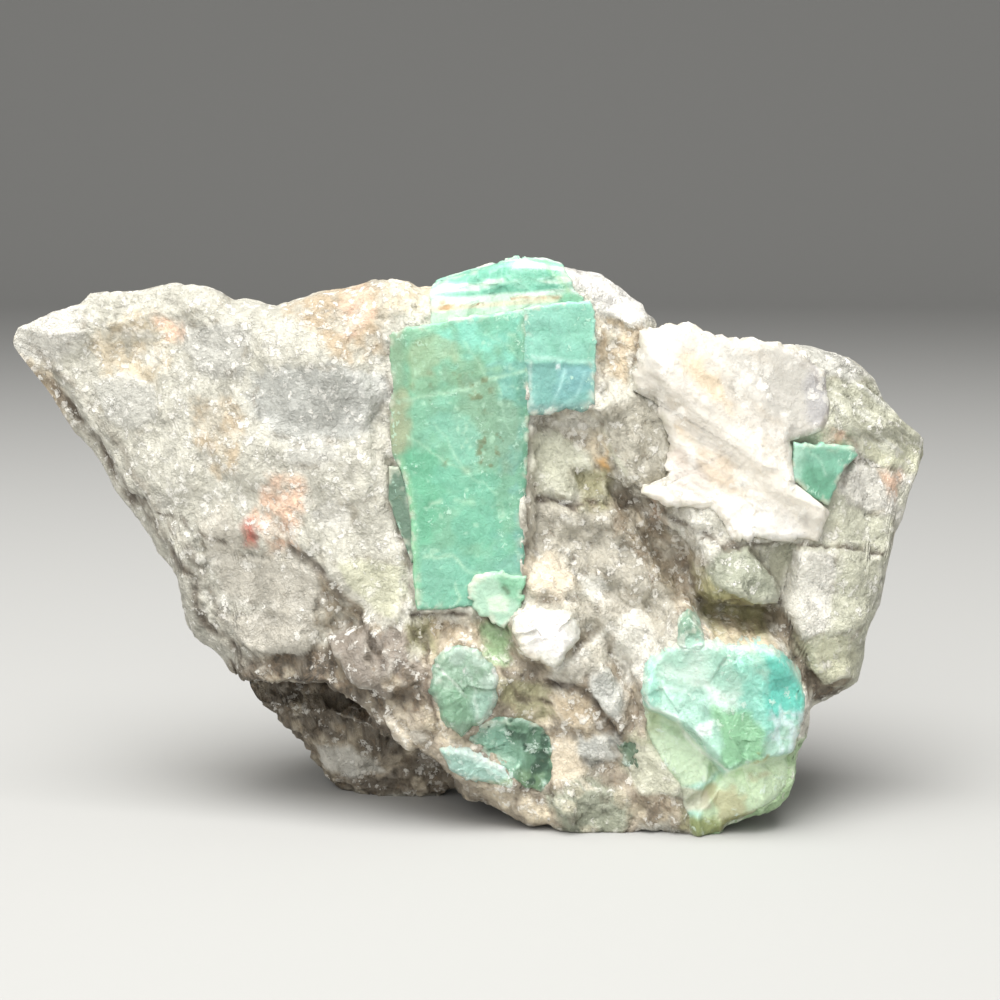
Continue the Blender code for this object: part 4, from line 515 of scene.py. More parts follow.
CROWN_OUTLINE = [(-2.9, 41.0), (-1.0, 41.4), (1.5, 41.7), (5.1, 42.0), (7.7, 42.3), (9.6, 42.6),
    (9.7, 43.5), (8.9, 44.2), (8.4, 45.3), (7.8, 46.3), (6.6, 46.7), (4.9, 46.9), (3.2, 46.7), (2.3, 46.4),
    (0.2, 45.8), (-1.5, 45.3), (-2.9, 44.7), (-3.1, 43.8), (-3.0, 42.3)]  # fmt: skip
GRAIN_OUTLINE = [(3.7, 18.0), (5.3, 18.8), (8.9, 18.2), (9.1, 16.2), (7.3, 13.8), (4.9, 14.9), (3.5, 16.8)]
ROUNDED_OUTLINE = [(-2.9, 14.6), (-0.8, 15.9), (1.0, 15.6), (2.5, 14.0), (2.9, 11.4), (2.2, 9.8),
    (0.9, 8.7), (-0.4, 7.9), (-2.1, 9.3), (-3.1, 12.0)]  # fmt: skip
DARK_OUTLINE = [(-0.3, 7.8), (1.0, 8.9), (2.3, 9.9), (3.6, 9.8), (5.0, 9.6), (6.6, 9.0), (7.2, 7.3),
    (7.2, 4.2), (6.2, 3.5), (5.0, 3.8), (3.6, 4.6), (3.0, 5.8), (1.6, 6.6)]  # fmt: skip
RIM_OUTLINE = [(-2.1, 7.2), (-1.1, 7.6), (0.1, 7.4), (1.6, 6.7), (3.2, 5.9), (4.3, 4.6), (3.7, 3.8),
    (1.8, 4.2), (0.0, 4.7), (-1.5, 5.5)]  # fmt: skip
SPECK_OUTLINE = [(12.3, 7.4), (14.1, 8.3), (14.0, 5.7), (12.9, 5.4)]
LOWER_OUTLINE = [(14.0, 13.2), (14.2, 14.4), (14.8, 15.1), (15.8, 15.6), (17.0, 16.2), (19.2, 16.3),
    (22.0, 16.1), (24.7, 15.9), (26.2, 15.0), (27.2, 13.6), (27.8, 12.2), (27.8, 11.0), (27.5, 9.6),
    (27.0, 7.9), (26.6, 6.4), (26.8, 5.2), (26.4, 4.0), (25.4, 2.8), (23.6, 2.0), (22.0, 1.1), (20.8, 0.2),
    (19.8, -0.2), (18.2, -0.2), (17.6, 2.0), (16.9, 4.5), (15.6, 6.1), (14.6, 7.5), (14.1, 8.9),
    (13.9, 11.2)]  # fmt: skip
NUB_OUTLINE = [(16.2, 14.0), (16.9, 15.6), (17.1, 17.9), (17.5, 18.4), (18.0, 18.6), (18.7, 18.3),
    (19.1, 17.6), (19.1, 15.6), (18.6, 14.0)]  # fmt: skip


def curve(table, x):
    """The value at x of a line drawn through a table's points."""
    xs, ys = zip(*table)
    return np.interp(x, xs, ys)


def corner_value(i, j, seed):
    """A fixed value from -1 to 1 for each corner of a lattice."""
    mixed = np.sin(i * 127.1 + j * 311.7 + seed * 74.7) * 43758.5453
    return 2.0 * (mixed - np.floor(mixed)) - 1.0


def facets(x, z, cell, seed):
    """Flat triangles that join the values of a triangular lattice, turned and bent by its seed, from
    -1 to 1."""
    turn = 0.9 * seed
    x, z = x * np.cos(turn) - z * np.sin(turn), x * np.sin(turn) + z * np.cos(turn)
    x, z = x + 0.22 * cell * np.sin(2.3 * z / cell), z + 0.22 * cell * np.sin(1.9 * x / cell)
    u, v = x / cell + z / cell * 0.5774, z / cell * 1.1547
    i, j = np.floor(u), np.floor(v)
    a, b = u - i, v - j
    upper = (a + b > 1.0).astype(float)
    near = corner_value(i + upper, j + upper, seed)
    wa, wb = np.where(upper > 0, 1 - a, a), np.where(upper > 0, 1 - b, b)
    along = np.where(upper > 0, corner_value(i, j + 1, seed), corner_value(i + 1, j, seed))
    across = np.where(upper > 0, corner_value(i + 1, j, seed), corner_value(i, j + 1, seed))
    return near * (1 - wa - wb) + along * wa + across * wb


def path_distance(x, z, path):
    """How far each point is from an open line of straight pieces."""
    nearest = np.full(np.shape(x), 1e9)
    for (x0, z0), (x1, z1) in zip(path, path[1:]):
        dx, dz = x1 - x0, z1 - z0
        t = np.clip(((x - x0) * dx + (z - z0) * dz) / (dx * dx + dz * dz), 0, 1)
        nearest = np.minimum(nearest, np.hypot(x - x0 - t * dx, z - z0 - t * dz))
    return nearest


def inside_distance(x, z, outline):
    """How far each point is inside a closed outline, negative outside. A point is inside when a line from
    it towards high x crosses the outline an odd number of times."""
    closed = outline + outline[:1]
    crossings = np.zeros(np.shape(x), int)
    for (x0, z0), (x1, z1) in zip(closed, closed[1:]):
        if z1 != z0:
            crossings += ((z0 > z) != (z1 > z)) & (x < x0 + (z - z0) * (x1 - x0) / (z1 - z0))
    nearest = path_distance(x, z, closed)
    return np.where(crossings % 2, nearest, -nearest)


def plain_front(x, z):
    """Depth of the plain front: a curve along x that leans with the height."""
    return curve(FRONT_DEPTH, x) + FRONT_LEAN * (z - MIDDLE_HEIGHT)


def front_face(x, z):
    """Depth of the front: the plain face, its terraces in order, and broken facets."""
    level = np.zeros(np.shape(x))
    for _, outline, depth, edge in TERRACES:
        t = smooth(inside_distance(x, z, outline) / edge + 0.5)
        level = level * (1 - t) + depth * t
    return plain_front(x, z) + level + 0.85 * facets(x, z, 6.0, 3) + 0.45 * facets(x, z, 2.6, 8)


def back_face(x, z):
    """Depth of the back: a swelling cut by flat breaks, and broken facets."""
    depth = curve(BACK_DEPTH, x) + BACK_LEAN * (z - MIDDLE_HEIGHT) + 1.5 * facets(x, z, 9.5, 21)
    for slope_x, slope_z, at in BACK_BREAKS:
        depth = np.minimum(depth, at + slope_x * x + slope_z * (z - MIDDLE_HEIGHT))
    return depth + 0.6 * facets(x, z, 4.2, 25)


def linear(colour):
    """A display colour as the linear values that a shader takes."""
    colour = np.asarray(colour, float)
    return np.where(colour <= 0.04045, colour / 12.92, ((colour + 0.055) / 1.055) ** 2.4)


def smooth(t):
    """Eased from 0 to 1, level at both ends."""
    t = np.clip(t, 0, 1)
    return t * t * (3 - 2 * t)


def hashed(cells, seed):
    """Three fixed values from 0 to 1 for each whole-number cell: the fraction of a large sine."""
    sums = cells @ np.array([[127.1, 269.5, 419.2], [311.7, 183.3, 371.9], [74.7, 246.1, 124.6]])
    mixed = np.sin(sums + seed * 17.3) * 43758.5453
    return mixed - np.floor(mixed)


def clouds(points, size, seed, octaves=3):
    """Smooth noise from -1 to 1: lattice values eased between the corners, each octave half as large
    and half as strong."""
    total, weight = np.zeros(points.shape[:-1]), 0.0
    for octave in range(octaves):
        q = points / (size * 0.5**octave)
        base = np.floor(q)
        t = smooth(q - base)
        value = np.zeros(points.shape[:-1])
        for step in product((0, 1), repeat=3):
            share = np.prod(np.where(np.array(step) == 1, t, 1 - t), axis=-1)
            value += share * hashed(base + np.array(step), seed + octave)[..., 0]
        total += (2 * value - 1) * 0.5**octave
        weight += 0.5**octave
    return total / weight


def grains(points, size, seed):
    """Random cells: for each point its cell, its offset from the cell's middle, and how far it is from
    the border, in cells."""
    q = points / size
    base = np.floor(q)
    best, second = np.full(q.shape[:-1], 9.0), np.full(q.shape[:-1], 9.0)
    chosen, offset = base.copy(), q - base
    for step in product((-1, 0, 1), repeat=3):
        cell = base + np.array(step)
        away = q - cell - hashed(cell, seed)
        gap = (away**2).sum(axis=-1)
        closer = gap < best
        second = np.where(closer, best, np.minimum(second, gap))
        best = np.where(closer, gap, best)
        chosen = np.where(closer[..., None], cell, chosen)
        offset = np.where(closer[..., None], away, offset)
    return chosen, offset, np.sqrt(second) - np.sqrt(best)


def broken(points, size, seed):
    """Height of a fractured face from -1 to 1: each cell has its own level and its own tilt."""
    cell, offset, border = grains(points + 0.18 * size * clouds(points, size, seed)[..., None], size, seed)
    level = hashed(cell, seed + 5)[..., 0] - 0.5
    tilt = ((hashed(cell, seed + 9) - 0.5) * offset).sum(axis=-1)
    return 0.7 * level + 1.5 * tilt - 0.25 * np.clip(1 - border / 0.12, 0, 1)


def normals_of(points):
    """Unit normals of a grid of rings, from the cross product of its two directions."""
    along = np.gradient(points, axis=0)
    around = (np.roll(points, -1, 1) - np.roll(points, 1, 1)) / 2
    normal = np.cross(around, along)
    return normal / np.maximum(np.linalg.norm(normal, axis=-1, keepdims=True), 1e-9)


def softened(values):
    """Each value of a grid of rings blended with its neighbours in both directions."""
    values = (np.roll(values, 1, 1) + 2 * values + np.roll(values, -1, 1)) / 4
    inner = (values[:-2] + 2 * values[1:-1] + values[2:]) / 4
    return np.concatenate([values[:1], inner, values[-1:]])


def edge_depth(x, up):
    """Depth of the line where front and back meet: it goes evenly from the foot's to the top's."""
    return curve(BOTTOM_DEPTH, x) * (1 - up) + curve(TOP_DEPTH, x) * up


def turned_in(face, edge, up, square):
    """A face that turns in to the edge at the top and the foot: a superellipse across the height."""
    return edge + (face - edge) * (1 - np.abs(2 * up - 1) ** square) ** (1 / square)


def front_depth(x, z, up):
    """Depth of the rock's front, squarer at the top than at the foot."""
    edge = edge_depth(x, up)
    face = np.minimum(front_face(x, z), edge - LEAST_BULGE)
    return turned_in(face, edge, up, np.where(up > 0.5, *FRONT_SQUARE))


def front_edge(x, z):
    """Depth of the rock's front at any place, from how high the place lies between foot and top edge."""
    low, high = curve(BOTTOM_EDGE, x), curve(TOP_EDGE, x)
    return front_depth(x, z, np.clip((z - low) / (high - low), 0, 1))


def skin_points():
    """The rock's sections: each rises up the front to the top edge and comes down the back."""
    x = np.linspace(LEFT_END, RIGHT_END, STATIONS + 2)[1:-1, None]
    steps = [(np.arange(n) + 0.5) / n for n in (FRONT_POINTS, BACK_POINTS)]
    rise = [0.62 * s + 0.38 * (0.5 - 0.5 * np.cos(np.pi * s)) for s in steps]
    up = np.concatenate([rise[0], rise[1][::-1]])[None, :]
    front = (np.arange(up.size) < FRONT_POINTS)[None, :]
    low, high = curve(BOTTOM_EDGE, x), curve(TOP_EDGE, x)
    z = low + (high - low) * up
    x = x + 0 * up
    edge = edge_depth(x, up)
    back = turned_in(np.maximum(back_face(x, z), edge + LEAST_BULGE), edge, up, BACK_SQUARE)
    y = softened(np.where(front, front_depth(x, z, up), back))
    away = np.clip(np.abs(y - edge) / 5.0, 0, 1)
    high_up = np.clip(1 - (high - z) / 6.0, 0, 1) ** 2
    z = z - high_up * away * np.minimum(1.6, 0.2 * (high - low)) * (0.75 + 0.75 * facets(x, y, 5.0, 33))
    lift = UNDERSIDE_RISE * (1 + 0.5 * facets(x, y, 5.5, 41))
    low_down = np.clip(1 - (z - low) / 9.0, 0, 1)
    z = z + lift * low_down * np.clip((y - edge) / 5.0, 0, 1)
    for foot_x, foot_y, radius in REAR_FEET:
        near = np.hypot(x - foot_x, y - foot_y) / radius
        z = z * (1 - np.clip(1.8 - 1.6 * near, 0, 1) * np.clip((9 - z) / 3, 0, 1))
    z = np.where((z < 0) | ((z < 0.35) & (low < 0)), 0.0, z)
    return np.stack(np.broadcast_arrays(x, y, z), axis=-1)


def ruggedness(x, z):
    """How strongly the rock is broken: low on the wedge's flat face and the right block, high round
    the pits."""
    wedge = [(-38, 38), (-36, 41), (-30, 45), (-7, 47), (-5, 20), (-9, 20), (-13, 24), (-21, 23), (-27, 27)]
    block = [(26, 41), (34, 40), (40, 31), (37, 16), (33, 9), (28, 12), (24, 18), (19, 24),
        (27, 25), (27, 32)]
    calm = smooth(inside_distance(x, z, wedge) / 3 + 0.4)
    calm_right = smooth(inside_distance(x, z, block) / 3 + 0.4)
    return 1.0 - 0.80 * calm - 0.62 * calm_right


def paint(points, seed, plain, zones):
    """Colour and finish of every point: each zone is laid over the last, its edge moved and frayed by
    noise, and loose grains only cover part of it."""
    ragged = 0.85 * clouds(points, 1.5, seed, 4) + 0.35 * clouds(points, 0.45, seed + 20, 2)
    loose = smooth(0.75 + 2.2 * clouds(points, 1.0, seed + 5, 3))
    x = points[..., 0] + 0.6 * clouds(points, 3.0, seed + 31)
    z = points[..., 2] + 0.6 * clouds(points, 3.0, seed + 37)
    facing = smooth((6 - points[..., 1]) / 2)
    look = plain.copy()
    for mineral, outline in zones:
        share = smooth(inside_distance(x, z, outline) / 1.1 + 0.5 + ragged) * facing
        if mineral.endswith("grains"):
            share = share * (0.30 + 0.70 * loose)
        look += (np.array(MINERALS[mineral]) - look) * share[..., None]
    cell, _, border = grains(points + 0.5 * clouds(points, 1.3, seed + 41)[..., None], 1.3, seed)
    chance = hashed(cell, seed + 3)
    inner = smooth(border / 0.25)
    brown = smooth((0.70 - look[..., 1]) / 0.10)
    wash(look, MINERALS["white quartz"][:3], 0.55 * inner * (chance[..., 0] > 0.93))
    wash(look, MINERALS["cream grains"][:3], 0.55 * inner * brown * (chance[..., 2] > 0.74))
    wash(look, MINERALS["painted shade and dark grains"][:3], 0.45 * inner * brown * (chance[..., 2] < 0.20))
    look[..., :3] *= (1 + (0.12 * chance[..., 1] - 0.06) * inner
        + 0.05 * clouds(points, 4.5, seed + 61))[..., None]
    return look


def grid_mesh(name, points, start, end, look):
    """A closed skin: quads between the rows of the grid, and a fan of triangles at each end."""
    rows, ring = points.shape[:2]
    all_points = np.concatenate([points.reshape(-1, 3), [start], [end]])
    all_points[:, 2] = np.maximum(all_points[:, 2], FLOOR)
    co = (all_points + SHIFT) * MM
    index = np.arange(rows * ring).reshape(rows, ring)
    a, b = index[:-1], index[1:]
    quads = np.stack([a, np.roll(a, -1, 1), np.roll(b, -1, 1), b], axis=-1).reshape(-1, 4)
    first, last = index[0], index[-1]
    caps = np.concatenate([
        np.stack([np.roll(first, -1), first, np.full(ring, rows * ring)], axis=-1),
        np.stack([last, np.roll(last, -1), np.full(ring, rows * ring + 1)], axis=-1),
    ])  # fmt: skip
    triangles = np.concatenate([quads[:, [0, 1, 2]], quads[:, [0, 2, 3]], caps])
    corners = co[triangles]
    inside_out = np.einsum("ij,ij->i", corners[:, 0], np.cross(corners[:, 1], corners[:, 2])).sum() < 0
    if inside_out:
        quads, caps = quads[:, ::-1], caps[:, ::-1]
    mesh = bpy.data.meshes.new(name)
    mesh.vertices.add(len(co))
    mesh.vertices.foreach_set("co", co.ravel())
    mesh.loops.add(quads.size + caps.size)
    mesh.loops.foreach_set("vertex_index", np.concatenate([quads.ravel(), caps.ravel()]).astype(np.int32))
    mesh.polygons.add(len(quads) + len(caps))
    starts = np.concatenate([np.arange(len(quads)) * 4, quads.size + np.arange(len(caps)) * 3])
    mesh.polygons.foreach_set("loop_start", starts.astype(np.int32))
    mesh.polygons.foreach_set("use_smooth", np.ones(len(starts), bool))
    mesh.update(calc_edges=True)
    mesh.validate()
    tail = np.concatenate([look.reshape(-1, look.shape[-1]), look[0, :1], look[-1, :1]])
    for attribute, values in (("tint", linear(np.clip(tail[:, :3], 0, 1))),
        ("finish", np.clip(tail[:, 3:6], 0, 1))):
        layer = mesh.attributes.new(attribute, "FLOAT_COLOR", "POINT")
        layer.data.foreach_set("color", np.column_stack([values, np.ones(len(values))]).ravel())
    return mesh


def show(name, mesh, material, slot, *nodes):
    """Puts a mesh in the scene, with its material and what it stands for in the part."""
    made = bpy.data.objects.new(name, mesh)
    bpy.context.scene.collection.objects.link(made)
    mesh.materials.append(material)
    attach(made, "root")
    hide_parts(*nodes)


def resampled(outline, step):
    """Points along a closed outline about a step apart, its own corners among them."""
    corners = np.array(outline + outline[:1], float)
    lengths = np.hypot(*np.diff(corners, axis=0).T)
    pieces = [
        one + (two - one) * np.linspace(0, 1, max(2, int(np.ceil(length / step))), endpoint=False)[:, None]
        for one, two, length in zip(corners, corners[1:], lengths)
    ]
    return np.concatenate(pieces)


def set_block(outline, front, depth, middle, rings, bevel, ragged, seed):
    """A crystal as rings: they spread from its middle to its outline over the front, then run back,
    narrowing, and close."""
    rim = resampled(outline, RIM_STEP)
    at = np.column_stack([rim[:, 0], np.zeros(len(rim)), rim[:, 1]])
    middle = np.array(middle, float)
    out = (rim - middle) / np.linalg.norm(rim - middle, axis=-1, keepdims=True)
    rim = rim + ragged * out * (broken(at, 1.4, seed) + clouds(at, 0.6, seed + 2, 2))[:, None]
    spread = (np.arange(rings) + 1) / rings
    flat = middle + (rim - middle) * spread[:, None, None]
    x, z = flat[..., 0], flat[..., 1]
    edge = inside_distance(x, z, [tuple(p) for p in rim[:: max(1, len(rim) // 90)].tolist()])
    y = front(x, z) + bevel * (1 - np.sqrt(1 - np.clip(1 - edge / max(bevel, 1e-3), 0, 1) ** 2 * 0.999))
    back = np.linspace(0, 1, 9)[1:]
    side_y = y[-1] + depth * back[:, None]
    narrow = 1 - TAPER * back[:, None, None]
    sides = middle + (rim - middle) * narrow
    close = np.array([0.7, 0.4, 0.15])[:, None, None]
    ends = middle + (rim - middle) * (1 - TAPER) * close
    x = np.concatenate([x, sides[..., 0], ends[..., 0]])
    z = np.concatenate([z, sides[..., 1], ends[..., 1]])
    y = np.concatenate([y, side_y, np.broadcast_to(side_y[-1], (3, len(rim)))])
    points = np.stack([x, y, z], axis=-1)
    start = (middle[0], float(front(middle[:1], middle[1:])[0]), middle[1])
    end = (middle[0], float(side_y[-1].mean()), middle[1])
    return points, start, end


def wash(look, colour, share):
    """Lays a colour over the look by a share from 0 to 1."""
    share = np.clip(share, 0, 1)[..., None]
    look[..., :3] += (np.array(colour) - look[..., :3]) * share


def patch(points, outline, soft, seed=0):
    """1 inside an outline and 0 outside, eased over a soft width, its edge moved about by noise."""
    wobble = soft * 1.2 * clouds(points, 1.8, seed + 77)
    return smooth(inside_distance(points[..., 0], points[..., 2], outline) / soft + 0.5 + wobble)


def streak(points, path, width, seed):
    """1 on a line and 0 a width away from it, the line moved about by noise and fading here and there."""
    moved = points + 0.35 * clouds(points, 1.5, seed + 5)[..., None]
    near = path_distance(moved[..., 0], moved[..., 2], path) / width
    return np.clip(1 - near, 0, 1) * (0.75 + 0.5 * clouds(points, 0.9, seed + 6))


def lay_marks(look, points, marks):
    """Lays marks over the look in order: each is a patch or a streak, its colour, how strong it is,
    its outline or path in x, z, its softness or width, and its seed."""
    for shape, colour, share, outline, width, seed in marks:
        wash(look, colour, share * shape(points, outline, width, seed))


def plain_look(points, colour, finish):
    """One colour and finish all over."""
    return np.broadcast_to(np.array((*colour, *finish), float), points.shape[:-1] + (6,)).copy()


def rock():
    """The rock's skin, roughened along its normals by broken faces of three sizes, its whole grains stood
    on it as tilted planes, and sunk under each crystal."""
    points = skin_points()
    normal = normals_of(points)
    if (normal * (points - points.mean(axis=(0, 1)))).sum() < 0:
        normal = -normal
    x, y, z = points[..., 0], points[..., 1], points[..., 2]
    rugged = ruggedness(x, z) * np.clip(0.25 + (x - LEFT_END) / 12, 0, 1)
    relief = rugged * (0.26 * broken(points, 4.4, 11) + 0.24 * broken(points, 1.9, 12))
    relief += (0.06 + 0.14 * rugged) * broken(points, 0.95, 13) + 0.05 * clouds(points, 0.8, 14, 2)
    low, high = curve(BOTTOM_EDGE, x), curve(TOP_EDGE, x)
    inner = np.clip(np.minimum(high - z, z - low) / 1.5, 0, 1)
    relief *= 0.45 + 0.55 * inner

    plain = np.array(MINERALS["pale quartz"])
    kinds = ("pale quartz", "smoky quartz", "brown quartz", "cream grains", "grey quartz",
        "tan grains", "brown grains")
    cell, _, _ = grains(points + 1.2 * clouds(points, 4.0, 50)[..., None], 6.5, 51)
    pick = np.floor(hashed(cell, 52)[..., 0] * len(kinds)).astype(int)
    rear = np.array([MINERALS[k] for k in kinds])[pick]
    behind = smooth((y - 1.0) / 2 + 0.6 * clouds(points, 1.6, 53, 3))[..., None]
    look = paint(points, 2, plain * (1 - behind) + rear * behind, ZONES)

    facing = smooth((4 - y) / 2)
    fray = 0.40 * clouds(points, 1.2, 300, 3)
    chips = broken(points, 1.7, 301)
    for number, (mineral, outline, proud, along, upward, rough) in enumerate(BLOCKS):
        inside = inside_distance(x, z, outline) + fray
        share = smooth(inside / 0.4 + 0.5) * facing
        middle = np.array(outline).mean(axis=0)
        plane = 0.4 * proud + 0.7 * (along * (x - middle[0]) + upward * (z - middle[1]) + rough * chips)
        relief += (plane - relief) * share
        look += (np.array(MINERALS[mineral]) - look) * (0.9 * share)[..., None]
        mottle = clouds(points, 1.0, 310 + number)
        wash(look, (0.90, 0.89, 0.85),
            0.40 * np.exp(-(((inside - 0.15) / 0.22) ** 2)) * facing * smooth(2.4 * mottle))
        wash(look, (0.44, 0.39, 0.31),
            0.35 * np.exp(-(((inside + 0.25) / 0.22) ** 2)) * facing * smooth(-2.4 * mottle))

    for number, (path, width, depth, dark) in enumerate(CRACKS_AND_SHADE_LINES):
        moved = points + 0.5 * clouds(points, 2.0, 90 + number)[..., None]
        near = path_distance(moved[..., 0], moved[..., 2], path) / width
        faded = np.clip(0.6 + 0.9 * clouds(points, 1.1, 120 + number, 2), 0, 1.2)
        line = np.clip(1 - near, 0, 1) * facing * faded
        relief -= depth * line
        # dark lines: crack stain, and painted shade in crevices, pits and under overhangs
        wash(look, (0.30, 0.255, 0.205) if dark > 0 else (0.92, 0.915, 0.88),
            abs(dark) * np.clip(1.5 * line, 0, 1))

    # Fibres that run down to the right at the top right corner, pale on their ridges as painted highlight
    # and grey in their furrows as painted shade, and the crumbled layers of the left foot.
    fibres = smooth(inside_distance(x, z, FIBRES) + 0.5) * facing
    drawn_out = np.stack([0.30 * (0.8 * x - 0.6 * z), 2.2 * (0.6 * x + 0.8 * z), 0 * x], axis=-1)
    lines = clouds(drawn_out, 1.0, 140)
    # painted highlight on the fibres' ridges, then painted shade in their furrows
    wash(look, (0.90, 0.90, 0.86), 0.65 * fibres * smooth(3 * lines))
    wash(look, (0.62, 0.62, 0.54), 0.45 * fibres * smooth(-3 * lines))
    relief += 0.16 * fibres * lines
    crumbled = smooth(inside_distance(x, z, LEFT_FOOT) + 0.5) * facing
    layers = 0.34 * broken(points * np.array((1.0, 1.0, 1.9)), 2.2, 17)
    relief += crumbled * (layers + 0.16 * broken(points, 0.8, 18))

    # The left side is a little duller than the middle, and darker still low down, which is painted shade
    # over the lower tier, the cavity and the foot; the right edge is a little duller too.
    left, right = smooth((-5 - x) / 2) * facing, smooth((x - 29) / 3) * facing
    look[..., :3] *= (1 - 0.05 * left - 0.06 * left * smooth((23 - z) / 3) - 0.04 * right)[..., None]

    # Hollows of the relief are darkened as painted shade and given more stain as dirt, and proud edges are
    # bruised pale.
    wide = relief
    for _ in range(8):
        wide = softened(wide)
    hollow = np.clip((wide - relief) / 0.25, -1, 1)
    # painted shade: darker where the relief lies below its smoothed self
    look[..., :3] *= (1 - 0.13 * np.clip(hollow, 0, 1))[..., None]
    look[..., 5] += 0.30 * np.clip(hollow, 0, 1)
    wash(look, (0.90, 0.89, 0.85), 0.28 * np.clip(-hollow, 0, 1))

    sunk, lip = np.zeros(x.shape), np.zeros(x.shape)
    crumbs = 0.10 + 0.22 * clouds(points, 0.7, 15, 2)
    for outline in SET_IN:
        inside = inside_distance(x, z, outline)
        sunk = np.maximum(sunk, smooth((inside - 0.30) / 0.5))
        lip = np.maximum(lip, np.exp(-(((inside + 0.1) / 0.45) ** 2)))
    relief += crumbs * lip * facing
    points = points + normal * (relief - 1.5 * sunk * (y < 1.0))[..., None]
    return points, look


def prism_front(x, z):
    """One sloping plane, with a narrow plane turned away along each long edge."""
    main = -7.2 + 0.165 * (z - 41.0) - 0.045 * (x + 4.5)
    wave = 0.05 * facets(x, z, 3.4, 61) + 0.03 * facets(x, z, 1.3, 62)
    return np.maximum(main, np.maximum(main + 0.50 * (-4.45 - x), main + 0.35 * (x - 4.6))) + wave


def side_front(x, z):
    """The prism's plane carried on to the right, a little behind it, with a step at the crack across it."""
    at = np.stack([x, 0 * x, z], axis=-1)
    main = -7.2 + 0.165 * (z - 41.0) - 0.045 * (x + 4.5)
    below = smooth((38.3 - z) / 0.4 + 0.3 * clouds(at, 1.5, 57))
    return main + 0.08 + 0.03 * (x - 5) + 0.09 * below + 0.06 * facets(x, z, 2.0, 62)


